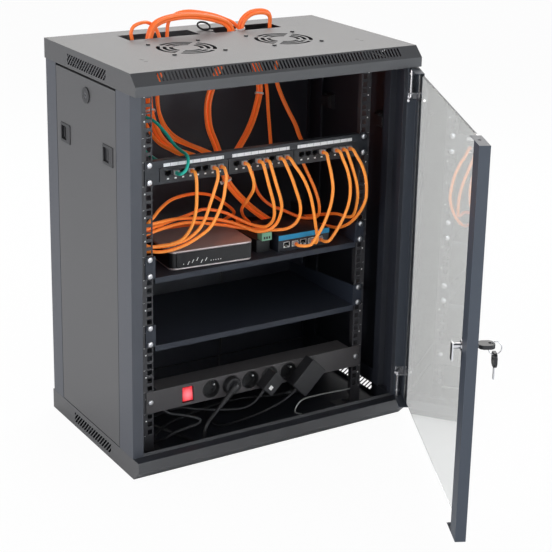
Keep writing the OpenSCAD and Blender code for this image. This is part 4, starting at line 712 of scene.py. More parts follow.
# %% [markdown]
# One finish for each material slot of the CAD model. Colours are linear values, and the dark
# powder coats differ a little, as batches from different makers do.
# %% The finishes
PAINTS = {
    # The shell and frame coats get painted shade on their faces that look into the cabinet.
    "shell_gray": finish("shell_powder_coat", (0.058, 0.058, 0.061), 0.46, grain=1500, bump=0.3, dust=0.1,
                         inside=0.85),
    "frame_gray": finish("frame_powder_coat", (0.048, 0.052, 0.064), 0.48, grain=1500, bump=0.3, inside=0.85),
    "rail_dark": finish("rail_paint", (0.038, 0.037, 0.041), 0.42, grain=1200, wear=0.35),
    "bright_steel": finish("zinc_plate", (0.66, 0.66, 0.68), 0.3, metal=1, grain=500, bump=0.1, wear=0.4),
    "spring_steel": finish("spring_wire", (0.5, 0.5, 0.52), 0.35, metal=1, grain=700),
    "black_steel": finish("black_screws", (0.02, 0.02, 0.022), 0.38, wear=0.5),
    "black_plastic": finish("black_moulding", (0.018, 0.018, 0.021), 0.5, grain=1800, bump=0.35),
    "door_gray": finish("door_powder_coat", (0.037, 0.046, 0.062), 0.46, grain=1500, bump=0.3),
    "foam_tape": finish("foam_tape", (0.02, 0.02, 0.02), 0.9, grain=600, bump=0.5, wear=0),
    "lock_chrome": finish("polished_chrome", (0.75, 0.75, 0.77), 0.16, metal=1, grain=300, bump=0.04,
                          wear=0.1),
    "key_plastic": finish("key_head", (0.012, 0.012, 0.014), 0.35, grain=1600),
    "panel_black": finish("panel_paint", (0.015, 0.018, 0.024), 0.42, grain=1400, bump=0.25),
    "jack_plastic": finish("jack_moulding", (0.014, 0.015, 0.018), 0.45, grain=1600, bump=0.2),
    "label_white": finish("label_card", (0.86, 0.87, 0.87), 0.35, grain=900, bump=0.05, wear=0, coat=0.4),
    "shelf_gray": finish("shelf_powder_coat", (0.016, 0.021, 0.034), 0.5, grain=1500, bump=0.3, dust=0.04),
    "router_gray": finish("router_shell", (0.42, 0.37, 0.36), 0.4, grain=1400, bump=0.2),
    "router_black": finish("router_window", (0.022, 0.022, 0.024), 0.2, grain=400, bump=0.02, specular=0.35),
    "switch_black": finish("switch_shell", (0.014, 0.016, 0.024), 0.42, grain=1500),
    "switch_blue": finish("switch_band", (0.004, 0.27, 0.52), 0.35, grain=1300, bump=0.1),
    "converter_black": finish("converter_shell", (0.014, 0.015, 0.017), 0.45, grain=1500),
    "terminal_green": finish("terminal_block", (0.20, 0.46, 0.30), 0.4, grain=1300),
    "strip_gray": finish("strip_extrusion", (0.066, 0.061, 0.063), 0.4, grain=1100, bump=0.15),
    "rocker_red": finish("lit_rocker", (0.75, 0.015, 0.012), 0.22, grain=500, bump=0.05, coat=0.5),
    "outlet_black": finish("outlet_moulding", (0.010, 0.010, 0.011), 0.42, grain=1600),
    "mains_black": finish("moulded_rubber", (0.014, 0.014, 0.016), 0.45, grain=1500),
    "clear_plastic": finish("clear_plug", (0.36, 0.35, 0.34), 0.14, grain=300, bump=0.05, coat=0.5),
    "tie_white": finish("nylon_tie", (0.74, 0.74, 0.72), 0.4, grain=900, bump=0.1),
    "cord_orange": finish("orange_jacket", (1.0, 0.33, 0.05), 0.38, grain=700, bump=0.08, wear=0),
    "trunk_orange": finish("trunk_jacket", (1.0, 0.26, 0.04), 0.36, grain=700, bump=0.1, wear=0),
    "lead_black": finish("lead_jacket", (0.013, 0.013, 0.015), 0.5, grain=900, bump=0.15, wear=0),
}
teal_jacket = finish("teal_jacket", (0.02, 0.52, 0.40), 0.38, grain=700, bump=0.08, wear=0)
pale_jacket = finish("pale_jacket", (0.34, 0.34, 0.33), 0.45, grain=700, bump=0.08, wear=0)
dull_chrome = finish("dull_chrome", (0.16, 0.16, 0.17), 0.3, metal=1, grain=300, bump=0.04, wear=0.1)
print(len(PAINTS), "finishes")

# %% [markdown]
# Leads look redder deeper inside, where most of their light comes from other orange leads.
# That light is a glow of the same colour, since few light paths reach so deep. Each finish
# blends into its deep colour between two places along the cabinet's depth.
# %% Deep orange
for name, near, far, deep, glow in (("cord_orange", -0.125, -0.02, (0.98, 0.155, 0.022), 0.14),
                                    ("trunk_orange", -0.09, 0.05, (0.98, 0.19, 0.032), 0.17)):
    tree, shader, shallow = opened(PAINTS[name])
    depth = axis_of(tree, object_place(tree), "Y")
    share = add_node(tree, "ShaderNodeMapRange", Value=depth, From_Min=near, From_Max=far).outputs[0]
    blend = mix_colour(tree, share, shallow, deep)
    fill(tree, shader, Base_Color=blend, Emission_Color=blend, Emission_Strength=glow)
    print(name, "turns deeper from", near, "to", far)

# %% [markdown]
# Tempered glass is clear, slightly grey-green and very smooth. Light bends on its way in and
# out, so the pane keeps its real thickness and both faces.
# %% Glass
GLASS_TINT, GLASS_SMEAR, SMEARS = (0.93, 0.94, 0.93, 1), 0.03, (12, 3)


def glass_finish():
    material, tree = new_material("tempered_glass")
    smear = math_node(tree, "MULTIPLY", noise(tree, object_place(tree), *SMEARS), GLASS_SMEAR)
    fill(tree, tree.nodes["Principled BSDF"], Base_Color=GLASS_TINT, Transmission_Weight=1, IOR=1.5,
         Roughness=smear)
    return material


PAINTS["smoked_glass"] = glass_finish()
print("glass is tinted", GLASS_TINT[:3])

# %% [markdown]
# Every node takes the finish of its slot. A few go their own way: the bolts are painted with
# the shell, the two panel locks get a darker, rougher chrome, one network lead is teal, and the
# earth lead is pale.
# %% Painting the nodes
def paint(piece, material):
    piece.data.materials.clear()
    piece.data.materials.append(material)


slot_of = {part["node"]: part["material_slot"] for part in frame["record"]["subparts"]}
for name, part in nodes.items():
    paint(part, PAINTS[slot_of[name]])
for pieces, slot in ((orange_cords, "cord_orange"), (trunk_cables, "trunk_orange"),
                     (black_leads, "lead_black")):
    for piece in pieces:
        paint(piece, PAINTS[slot])
paint(nodes["bracket_bolts"], PAINTS["shell_gray"])
for side in ("left", "right"):
    paint(nodes["panel_lock_" + side], dull_chrome)
paint(teal_lead, teal_jacket)
paint(earth_lead, pale_jacket)
print("every node has its finish")

# %% [markdown]
# ## Folded sheet metal
# Folded and punched steel never has a knife edge: the powder coat rounds every fold and cut
# by less than half a millimetre, and that thin bright line tells the eye that it is metal.
# Moulded cases have rounder edges. A bevel could be a modifier on each part; here a copy of
# each CAD mesh is merged, its flat triangles are dissolved, and the sharp edges are bevelled
# in the mesh itself, so the piece stays exactly where its node was.
# %% Softened copies
BODY_OF = {node: body for body, held in frame["record"]["behaviour"]["bodies"].items() for node in held}
MERGE_DIST, FLAT, SHARP = 1e-5, math.radians(1), math.radians(40)


def mesh_from(bm, name, smooth=False):
    mesh = bpy.data.meshes.new(name)
    bm.to_mesh(mesh)
    bm.free()
    for face in mesh.polygons:
        face.use_smooth = smooth
    return mesh


def extra_piece(name, shape, material, body="cabinet", matrix=None):
    """A piece from a mesh or a bmesh, moved by a matrix, that the CAD model doesn't have."""
    mesh = shape if isinstance(shape, bpy.types.Mesh) else mesh_from(shape, name)
    if matrix:
        mesh.transform(matrix)
    piece = in_scene(name, mesh)
    paint(piece, material)
    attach(piece, body)
    return piece


def new_piece(name, shape, material, node, matrix=None):
    """A piece that takes the place of a node."""
    piece = extra_piece(name, shape, material, BODY_OF[node], matrix)
    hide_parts(node)
    return piece


def merged_copy(node):
    bm = bmesh.new()
    bm.from_mesh(nodes[node].data)
    bmesh.ops.remove_doubles(bm, verts=bm.verts, dist=MERGE_DIST)
    bmesh.ops.dissolve_limit(bm, angle_limit=FLAT, verts=bm.verts, edges=bm.edges)
    return bm


def bevel(bm, edges, width, steps):
    bmesh.ops.bevel(bm, geom=edges, offset=width, segments=steps, profile=0.5, affect="EDGES")


def soften(node, width_mm):
    bm = merged_copy(node)
    sharp = [e for e in bm.edges if e.is_manifold and abs(e.calc_face_angle(0)) > SHARP]
    bevel(bm, sharp, width_mm / 1000, 3 if width_mm > 1 else 2)
    return new_piece(node + "_soft", bm, PAINTS[slot_of[node]], node)


SOFT_EDGES = {
    "base_tray": 0.4, "top_cap": 0.4, "side_frame_left": 0.4, "side_frame_right": 0.4,
    "side_panel_left": 0.4, "side_panel_right": 0.4, "hinge_stile": 0.45, "lock_stile": 0.45,
    "shelf_upper": 0.4, "shelf_lower": 0.4, "patch_panel": 0.3, "pdu_body": 0.5, "pdu_rocker": 0.8,
    "switch_case": 0.6, "switch_front": 0.35, "media_converter": 0.8, "terminal_block": 0.5,
    "router_case": 2.0, "router_face": 0.3, "power_adapters": 1.6, "door_glass": 0.5,
    "rail_left": 0.3, "rail_right": 0.3, "rail_brackets": 0.4,
    "panel_fittings_left": 0.5, "panel_fittings_right": 0.5,
}
soft = {node: soften(node, width) for node, width in SOFT_EDGES.items()}
print("softened", {k: len(p.data.polygons) for k, p in soft.items()})

# %% [markdown]
# ## Repeated hardware
# A rack repeats the same few shapes many times: screws, jack openings, marks, outlets. One
# Geometry Nodes tree sets them out. Its input is a mesh of bare points. On each it puts the
# given shape, turned by the point's own angles and by a random twist about its axis, then
# makes the copies real and gives them their finish.
# %% The setting-out tree
TREE_SOCKETS = {"INPUT": {"Points": "Geometry", "Shape": "Object", "Twist": "Float", "Finish": "Material"},
                "OUTPUT": {"Copies": "Geometry"}}
TWIST_SEED = 7


def setting_out_tree():
    tree = bpy.data.node_groups.new("set_out_copies", "GeometryNodeTree")
    add_sockets(tree, TREE_SOCKETS)
    given = add_node(tree, "NodeGroupInput").outputs
    angles = add_node(tree, "GeometryNodeInputNamedAttribute", {"data_type": "FLOAT_VECTOR"}, Name="turn")
    facing = add_node(tree, "FunctionNodeEulerToRotation", _0=angles.outputs[0])
    least = math_node(tree, "MULTIPLY", given["Twist"], -1)
    chance = add_node(tree, "FunctionNodeRandomValue", {"data_type": "FLOAT"}, _2=least,
                      _3=given["Twist"], Seed=TWIST_SEED)
    about_axis = add_node(tree, "ShaderNodeCombineXYZ", _2=chance.outputs[1])
    twist = add_node(tree, "FunctionNodeEulerToRotation", _0=about_axis.outputs[0])
    turned = add_node(tree, "FunctionNodeRotateRotation", {"rotation_space": "LOCAL"},
                      Rotation=facing.outputs[0], Rotate_By=twist.outputs[0])
    shape = add_node(tree, "GeometryNodeObjectInfo", Object=given["Shape"])
    copies = add_node(tree, "GeometryNodeInstanceOnPoints", Points=given["Points"],
                      Instance=shape.outputs["Geometry"], Rotation=turned.outputs[0])
    real = add_node(tree, "GeometryNodeRealizeInstances", _0=copies.outputs[0])
    finished = add_node(tree, "GeometryNodeSetMaterial", Geometry=real.outputs[0], Material=given["Finish"])
    add_node(tree, "NodeGroupOutput", _0=finished.outputs[0])
    return tree


SET_OUT = setting_out_tree()
TREE_INPUTS = {s.name: s.identifier for s in SET_OUT.interface.items_tree if s.in_out == "INPUT"}
print("tree inputs:", list(TREE_INPUTS))

# %% [markdown]
# The tree is run on a mesh of points, and the plain mesh that it makes is kept, so that the
# finished piece needs no modifier.
# %% Running the tree
def after_modifiers(host):
    """The plain mesh that an object's modifiers make. The object itself is used up."""
    graph = bpy.context.evaluated_depsgraph_get()
    mesh = bpy.data.meshes.new_from_object(host.evaluated_get(graph))
    host.modifiers.clear()
    bpy.data.objects.remove(host)
    return mesh


def set_out(name, shape_mesh, places, material, twist):
    """Copies of a shape at places, each a position and its three angles."""
    points = bpy.data.meshes.new("points")
    points.from_pydata([tuple(p) for p, _ in places], [], [])
    turn = points.attributes.new("turn", "FLOAT_VECTOR", "POINT")
    for i, (_, angles) in enumerate(places):
        turn.data[i].vector = angles
    shape, host = in_scene("shape", shape_mesh), in_scene("host", points)
    modifier = host.modifiers.new("tree", "NODES")
    modifier.node_group = SET_OUT
    for key, value in (("Shape", shape), ("Twist", twist), ("Finish", material)):
        modifier[TREE_INPUTS[key]] = value
    mesh = after_modifiers(host)
    mesh.name = name
    bpy.data.objects.remove(shape)
    return mesh


def extra_copies(name, shape, places, material, twist=0.0):
    return extra_piece(name, set_out(name, shape, places, material, twist), material)


def new_copies(name, shape, places, material, node, twist=0.0):
    return new_piece(name, set_out(name, shape, places, material, twist), material, node)


print("copies can be set out")

# %% [markdown]
# Small solids are drawn with two tools. The first is a lathe: it turns a profile about the Z
# axis, as a screw head or a boot is turned. A Screw modifier does the same, but plain rings
# of corners can also be placed inside a larger mesh.
# %% Lathe
MM = 0.001


def mm(*lengths):
    """Millimetres turned into metres."""
    return tuple(v * MM for v in lengths)


def wrap(bm, low, high):
    """Faces from one ring of corners to the next. A ring of one corner is a tip."""
    sides = max(len(low), len(high))
    for k in range(sides):
        n = (k + 1) % sides
        if len(low) == 1:
            bm.faces.new((low[0], high[n], high[k]))
        elif len(high) == 1:
            bm.faces.new((low[k], low[n], high[0]))
        else:
            bm.faces.new((low[k], low[n], high[n], high[k]))


def lathe(profile, sides, bm=None, at=(0, 0, 0)):
    """A closed solid of revolution from (radius, height) pairs in millimetres, from bottom to top."""
    bm = bm or bmesh.new()
    x, y, foot = mm(*at)
    rings = []
    for r, z in (mm(*pair) for pair in profile):
        if r < 1e-7:
            rings.append([bm.verts.new((x, y, foot + z))])
        else:
            rings.append([bm.verts.new((x + r * math.cos(a), y + r * math.sin(a), foot + z))
                          for a in (2 * math.pi * k / sides for k in range(sides))])
    for low, high in zip(rings, rings[1:]):
        wrap(bm, low, high)
    for end in (rings[0][::-1], rings[-1]):
        if len(end) > 1:
            bm.faces.new(end)
    return bm


print("a turned disc has", len(lathe([(0, 0), (3, 0), (3, 1), (0, 1)], 16).faces), "faces")

# %% [markdown]
# The second is a block, a box with bevelled edges. Wells, slots and holes are then cut out of
# both kinds with an exact boolean, as a drill or a mill would cut them.
# %% Block and cut
def block(lo, hi, bm=None, rounding=0.0):
    """A box between two corners, in metres, with its edges bevelled."""
    part = bmesh.new()
    bmesh.ops.create_cube(part, size=1)
    for v in part.verts:
        v.co = Vector([lo[i] if v.co[i] < 0 else hi[i] for i in range(3)])
    if rounding:
        bevel(part, part.edges[:], rounding, 2)
    if bm is None:
        return part
    held = bpy.data.meshes.new("part")
    part.to_mesh(held)
    part.free()
    bm.from_mesh(held)
    bpy.data.meshes.remove(held)
    return bm


def cut(mesh, cutter):
    """The mesh with the cutter taken out of it."""
    whole, tool = in_scene("whole", mesh), in_scene("tool", cutter)
    boolean = whole.modifiers.new("cut", "BOOLEAN")
    boolean.object, boolean.solver, boolean.operation = tool, "EXACT", "DIFFERENCE"
    result = after_modifiers(whole)
    bpy.data.objects.remove(tool)
    return result


print("drawing tools ready")

# %% [markdown]
# ### Rack screws
# M6 pan-head screws hold every ear. The head is turned with a soft dome, and a cross is
# sunk in it. No two stop at the same angle, which is what the random twist is for.
# %% Rack screws
RAIL_FACE, EAR_FACE, UNIT = 86.2, 84.2, 44.45
HEAD_R, HEAD_HIGH, RECESS_R, SHANK_R, SHANK_LONG = 5.7, 3.1, 3.3, 2.8, 13
FACING_FRONT = (math.pi / 2, 0, 0)


def island_boxes(node):
    bm = merged_copy(node)
    seen, boxes = set(), []
    for start in bm.verts:
        if start in seen:
            continue
        seen.add(start)
        front, found = [start], []
        while front:
            v = front.pop()
            found.append(v.co.copy())
            for e in v.link_edges:
                other = e.other_vert(v)
                if other not in seen:
                    seen.add(other)
                    front.append(other)
        boxes.append((Vector(map(min, *found)), Vector(map(max, *found))))
    bm.free()
    return sorted(boxes, key=lambda b: (round(b[0].z, 3), b[0].x))


def cross_head(radius, height, recess):
    dome = [(0, 0), (radius, 0), (radius, 0.35 * height), (0.94 * radius, 0.62 * height),
            (0.75 * radius, 0.86 * height), (0.45 * radius, 0.97 * height), (0, height)]
    cutter = bmesh.new()
    for a, b in ((recess, 0.16 * recess), (0.16 * recess, recess)):
        block(mm(-a, -b, 0.45 * height), mm(a, b, height * 1.2), cutter)
    bmesh.ops.recalc_face_normals(cutter, faces=cutter.faces)
    return cut(mesh_from(lathe(dome, 24), "head"), mesh_from(cutter, "cross"))


def screw_shape():
    bm = bmesh.new()
    bm.from_mesh(cross_head(HEAD_R, HEAD_HIGH, RECESS_R))
    lathe([(SHANK_R, -SHANK_LONG), (SHANK_R, 0)], 12, bm)
    return mesh_from(bm, "screw")


STEEL = PAINTS["bright_steel"]
screw_places = [(((lo.x + hi.x) / 2, EAR_FACE * MM + FRONT_Y, (lo.z + hi.z) / 2), FACING_FRONT)
                for lo, hi in island_boxes("rack_screws")]
rack_screws = new_copies("rack_screws_turned", screw_shape(), screw_places, STEEL, "rack_screws", twist=1.5)
print(len(screw_places), "rack screws,", len(rack_screws.data.polygons), "faces")

# %% [markdown]
# ### Marks on the rails
# The rails carry a short white tick where each unit begins and a small dot inside each unit,
# both printed on the face. They are a few hundredths of a millimetre thick, so that they read
# as ink.
# %% Rail marks
UNITS, DOT_DROP, DOT_X, TICK_X = 15, 14.3, 240.5, 243.6
DOT_R, TICK_HALF_W, TICK_HALF_H, INK = 1.5, 1.6, 0.25, 0.06
PRINT_WHITE = finish("print_white", (0.80, 0.80, 0.78), 0.5, grain=1500, wear=0, dust=0)
rail_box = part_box("rail_left")
unit_feet = [(rail_box[0].z + rail_box[1].z) / 2 + UNIT * MM * (k - UNITS / 2) for k in range(UNITS + 1)]
disc = mesh_from(lathe([(0, 0), (DOT_R, 0), (DOT_R, INK), (0, INK)], 16), "disc")
tick = mesh_from(block(mm(-TICK_HALF_W, -TICK_HALF_H, 0), mm(TICK_HALF_W, TICK_HALF_H, INK)), "tick")
front_face = RAIL_FACE * MM + FRONT_Y
dot_places = [((side * DOT_X * MM, front_face, z + (UNIT - DOT_DROP) * MM), FACING_FRONT)
              for side in (-1, 1) for z in unit_feet[:-1]]
tick_places = [((side * TICK_X * MM, front_face, z), FACING_FRONT) for side in (-1, 1) for z in unit_feet]
extra_copies("rail_dots", disc, dot_places, PRINT_WHITE)
extra_copies("rail_ticks", tick, tick_places, PRINT_WHITE)
print(len(dot_places), "dots and", len(tick_places), "ticks")

# %% [markdown]
# ### Jack openings
# A network jack has a raised rim, a notch below for the plug's latch and eight sprung contacts
# that slope back from the top. Rim and contacts are two small shapes set out over all the
# openings of the patch panel and of the switch. A white flag is printed under each of the
# panel's openings.
# %% Jack openings
PORT_W, PORT_H, CONTACTS, CONTACT_PITCH = 12.0, 10.0, 8, 1.02
GOLD = finish("gilt_contact", (0.83, 0.58, 0.22), 0.28, metal=1, grain=400, bump=0.02, wear=0)


def rim_shape():
    bm = bmesh.new()
    w, h, edge, proud = PORT_W / 2, PORT_H / 2, 0.75, 0.45
    for lo, hi in (((-w - edge, -h - edge), (w + edge, -h)), ((-w - edge, h), (w + edge, h + edge)),
                   ((-w - edge, -h), (-w, h)), ((w, -h), (w + edge, h))):
        block(mm(*lo, -0.02), mm(*hi, proud), bm, 0.12 * MM)
    for x in (-4.3, 4.3):
        block(mm(x - 1.6, -h, -9), mm(x + 1.6, -h + 2.0, -0.3), bm)
    return mesh_from(bm, "rim")


def contact_shape():
    bm = bmesh.new()
    half, thick = 0.17, 0.25
    for k in range(CONTACTS):
        x = (k - (CONTACTS - 1) / 2) * CONTACT_PITCH
        corners = [mm(x + s * half, y + t, z) for y, z in ((0.6, -10.5), (4.4, -3.2))
                   for s, t in ((-1, 0), (1, 0), (1, thick), (-1, thick))]
        vs = [bm.verts.new(c) for c in corners]
        for face in ((0, 1, 2, 3), (7, 6, 5, 4), (0, 4, 5, 1), (1, 5, 6, 2), (2, 6, 7, 3), (3, 7, 4, 0)):
            bm.faces.new([vs[i] for i in face])
    bmesh.ops.recalc_face_normals(bm, faces=bm.faces)
    return mesh_from(bm, "contacts")


FLAG_DROP = 10.2
panel_ports = [metres(port_at(n)) for n in range(1, 3 * PORTS + 1)]
switch_ports = [metres(front_at(i)) for i in range(5)]
for name, ports, rims in (("panel", panel_ports, PAINTS["jack_plastic"]),
                          ("switch", switch_ports, PRINT_WHITE)):
    places = [(p, FACING_FRONT) for p in ports]
    extra_copies(name + "_port_rims", rim_shape(), places, rims)
    extra_copies(name + "_port_contacts", contact_shape(), places, GOLD)
flag = mesh_from(block(mm(-2.1, -1.4, 0), mm(2.1, 1.4, 0.08)), "flag")
flag_places = [(p + Vector((0, 0, -FLAG_DROP * MM)), FACING_FRONT) for p in panel_ports]
extra_copies("port_flags", flag, flag_places, PRINT_WHITE)
print(len(panel_ports), "panel ports,", len(switch_ports), "switch ports")

# %% [markdown]
# ### Label strips
# Above each group of eight ports a card slides behind a clear cover, ruled into eight fields.
# The rulings are part of the finish: the card's own x position is taken modulo the
# port pitch, and a thin line is drawn where the remainder is close to the middle.
# %% Ruled card
RULES_FROM, RULE_HALF_W, RULE_INK = 1.5 * MODULE_PITCH * MM, 0.35, 0.75


def ruled_card():
    material = finish("ruled_card", (0.85, 0.86, 0.87), 0.32, grain=900, bump=0.03, wear=0, coat=0.5)
    tree, shader, card = opened(material)
    x = math_node(tree, "ADD", axis_of(tree, object_place(tree), "X"), RULES_FROM)
    along = add_node(tree, "ShaderNodeMath", {"operation": "WRAP"}, _0=x, _1=PORT_PITCH * MM, _2=0).outputs[0]
    line = band_mask(tree, along, PORT_PITCH * MM / 2, RULE_HALF_W * MM)
    ink = math_node(tree, "MULTIPLY", line, RULE_INK)
    fill(tree, shader, Base_Color=mix_colour(tree, ink, card, (0.10, 0.11, 0.13)))
    return material


soft["label_strips"] = soften("label_strips", 0.15)
paint(soft["label_strips"], ruled_card())
print("card ruled every", PORT_PITCH, "mm")

# %% [markdown]
# ### Network plugs
# A plug is a clear block with a springy latch under it. Its rubber boot is a tapered sleeve
# with grooves that let it bend. Both are drawn once, pointing out of the port along Z, and
# set out on every port in use.
# %% Plug and boot shapes
PLUG_H, LATCH_HIGH = 9.4, 1.7
USED_PORTS = [2, 4, 7, 8, 10, 12, 13, 15, 16, 20, 22, 23, 24]
USED_FRONTS = [1, 3, 4]
ROUTER_SOCKETS = [-60, -20, 20, 60]
SWITCH_SOCKETS = [(62, 24), (76, 8), (92, 8), (132, 8), (150, 8)]
BOOT_FOOT, BOOT_R, RIBS = 4.9, 3.8, 3


def plug_shape(depth):
    w, h = PLUG_W / 2, PLUG_H / 2
    bm = block(mm(-w, -h + LATCH_HIGH, -depth), mm(w, h, 5), None, 0.4 * MM)
    block(mm(-3.2, -h, -1.0), mm(3.2, -h + 1.0, 4.6), bm, 0.25 * MM)
    return mesh_from(bm, "plug")


def boot_shape():
    profile = [(0, BOOT_FOOT), (BOOT_R, BOOT_FOOT)]
    for k in range(RIBS):
        z, r = 5.6 + k * 1.0, BOOT_R - 0.22 * k
        profile += [(r, z), (r, z + 0.5), (r - 0.45, z + 0.6), (r - 0.45, z + 0.9)]
    return mesh_from(lathe(profile + [(3.0, 8.8), (0, 8.95)], 16), "boot")


print(len(boot_shape().polygons), "faces on a boot")

# %% [markdown]
# Thirteen leads start at the panel's front. The teal one ends behind the panel, and the others
# end at the router or the switch. Plugs in the back sockets are only seen from behind, so they
# need no nose.
# %% Plugs in their sockets
upright_back = (math.pi / 2, 0, math.pi)
front_ends = [port_at(n) for n in USED_PORTS] + [front_at(i) for i in USED_FRONTS]
back_ends = [router_socket(x) for x in ROUTER_SOCKETS] + [back_at(x, rise) for x, rise in SWITCH_SOCKETS]
front_places = [(metres(at), FACING_FRONT) for at in front_ends]
back_places = [(metres(at), upright_back) for at in back_ends]
CLEAR = PAINTS["clear_plastic"]
ORANGE_BOOT = finish("orange_boot", (0.90, 0.19, 0.025), 0.42, grain=900, bump=0.1, wear=0)
TEAL_BOOT = finish("teal_boot", (0.02, 0.42, 0.33), 0.42, grain=900, bump=0.1, wear=0)
for name, shape, places, material in (
        ("front_plugs", plug_shape(11.5), front_places, CLEAR),
        ("back_plugs", plug_shape(-0.2), back_places, CLEAR),
        ("orange_boots", boot_shape(), front_places[1:] + back_places, ORANGE_BOOT),
        ("teal_boot", boot_shape(), front_places[:1], TEAL_BOOT)):
    new_copies(name, shape, places, material, "patch_plugs")
bundle_block = block(metres([97, 205, SHELF_TOP + 14]), metres([119, 217, SHELF_TOP + 30]), None, 0.8 * MM)
new_piece("bundle_block", bundle_block, PAINTS["converter_black"], "patch_plugs")
print(len(front_places) + len(back_places), "plugs")
# %% [markdown]
# ### Power strip
# Each outlet is a round well with two contact holes and an earth pin, turned 45 degrees so that
# plugs with bulky bodies can sit side by side. The well is turned on the lathe and drilled.
# %% Outlets
OUTLETS, OUTLET_R, WELL_FLOOR, WELL_DEPTH = 6, 18.5, 3.0, 15.0
HOLE_AT, HOLE_R = 9.5, 2.6
EARTH_AT, EARTH_R, EARTH_LONG = 10.0, 2.4, 13.5
SLANT = Matrix.Rotation(math.pi / 2, 4, "X") @ Matrix.Rotation(-math.pi / 4, 4, "Z")


def outlet_matrix(i, back=0.0):
    """The place of outlet i, with Z pointing out of the strip."""
    centre = metres([OUTLET_X0 + OUTLET_PITCH * i, STRIP_FACE + back, STRIP_MID])
    return Matrix.Translation(centre) @ SLANT


def well_shape():
    r, top = OUTLET_R, WELL_DEPTH
    profile = [(0, 0), (r, 0), (r, top - 0.5), (r - 0.4, top), (r - 1.1, top), (r - 1.5, top - 0.4),
               (r - 1.5, WELL_FLOOR + 0.8), (r - 2.2, WELL_FLOOR), (0, WELL_FLOOR)]
    drill = bmesh.new()
    for side in (-1, 1):
        lathe([(0, 0.6), (HOLE_R, 0.6), (HOLE_R, 6), (0, 6)], 20, drill, (side * HOLE_AT, 0, 0))
    return cut(mesh_from(lathe(profile, 48), "well"), mesh_from(drill, "drill"))


def earth_pin(length, radius):
    tip = [(0, 0), (radius, 0), (radius, length - radius * 0.6),
           (radius * 0.7, length - radius * 0.15), (0, length)]
    return mesh_from(lathe(tip, 20, None, (0, EARTH_AT, 0)), "pin")


def placed(matrix):
    return (matrix.translation, matrix.to_euler())


wells = [placed(outlet_matrix(i, WELL_DEPTH)) for i in range(OUTLETS)]
new_copies("outlet_wells", well_shape(), wells, PAINTS["outlet_black"], "pdu_outlets")
extra_copies("earth_pins", earth_pin(EARTH_LONG, EARTH_R), wells[::2], STEEL)
print(len(wells), "outlets")

# %% [markdown]
# The rocker is lit from inside: its middle glows more than its edges.
# %% The rocker's glow
LAMP_AT, LAMP_REACH = (-153, 89, STRIP_MID - 1), 0.014


def lit_rocker():
    material = finish("glowing_rocker", (0.75, 0.012, 0.02), 0.2, grain=500, bump=0.05, coat=0.6)
    tree, shader, _ = opened(material)
    away = vector_node(tree, "DISTANCE", object_place(tree), metres(LAMP_AT)).outputs["Value"]
    near = math_node(tree, "SUBTRACT", 1, math_node(tree, "DIVIDE", away, LAMP_REACH), clamp=True)
    glow = mix_colour(tree, near, (0.50, 0.008, 0.02), (1.0, 0.42, 0.50))
    fill(tree, shader, Emission_Color=glow, Emission_Strength=0.75)
    return material


paint(soft["pdu_rocker"], lit_rocker())
print("rocker lit around", LAMP_AT)

# %% [markdown]
# ### Mains plug and coupler
# The plug's face is a dished disc, and its lead leaves sideways through a long tapered relief
# whose ribs let it bend. The strip's own lead ends in a round coupler with two pins. All are
# lathe work.
# %% Plug and coupler
def ribbed(length, thick, thin, ribs):
    """Radius and distance along a tapered, ribbed sleeve, in millimetres."""
    rings = []
    for k in range(ribs):
        for part, drop in ((0.0, 0.0), (0.55, 0.0), (0.6, 0.22), (0.95, 0.22)):
            share = (k + part) / ribs
            rings.append(((thick + (thin - thick) * share) * (1 - drop), share * length))
    return rings + [(thin, length)]


def turned_piece(name, profile, matrix, material, sideways=(0,)):
    """A piece of the power plug, turned once or at several places across its axis."""
    bm = bmesh.new()
    for y in sideways:
        lathe(profile, 32, bm, (0, y, 0))
    bmesh.ops.recalc_face_normals(bm, faces=bm.faces)
    return new_piece(name, bm, material, "power_plug", matrix)


MAINS = PAINTS["mains_black"]
disc_profile = [(0, -11.7), (16.2, -11.7), (16.7, -11.2), (16.7, 9.5), (15.9, 11.6), (13.6, 13),
                (9, 12.2), (0, 12)]
turned_piece("plug_disc", disc_profile, outlet_matrix(1), MAINS)
relief_matrix = outlet_matrix(1) @ Matrix.Translation(mm(0, 3, 16)) @ Matrix.Rotation(math.pi / 2, 4, "X")
relief_profile = [(0, -7), (3.6, -6.2), (6, -3.7), (7, 0), (6.9, 8)]
relief_profile += [(r, 9 + z) for r, z in ribbed(41, 6.6, 4.5, 9)[1:]] + [(0, 50)]
turned_piece("plug_relief", relief_profile, relief_matrix, MAINS)
coupler_matrix = Matrix.Translation(metres([140, 196, 8])) @ Matrix.Rotation(math.pi / 2, 4, "Y")
coupler = [(0, 0), (4.6, 0), (5.4, 2), (6.5, 8), (6.5, 12), (5.9, 13), (5.9, 27), (6.5, 28),
           (6.5, 33.5), (6, 34), (0, 34)]
turned_piece("supply_coupler", coupler, coupler_matrix, MAINS)
prong = [(0, 33), (2, 33), (2, 51.6), (1.3, 53), (0, 53)]
turned_piece("supply_prongs", prong, coupler_matrix, STEEL, sideways=(-4, 4))
print("plug and coupler made")

# %% [markdown]
# ### Strain reliefs
# Where a lead enters a case, a shorter ribbed sleeve lets it bend. It follows the lead's own
# curve, so it is built as rings carried along the lead's line.
# %% Sleeves
SLEEVE_SIDES = 20


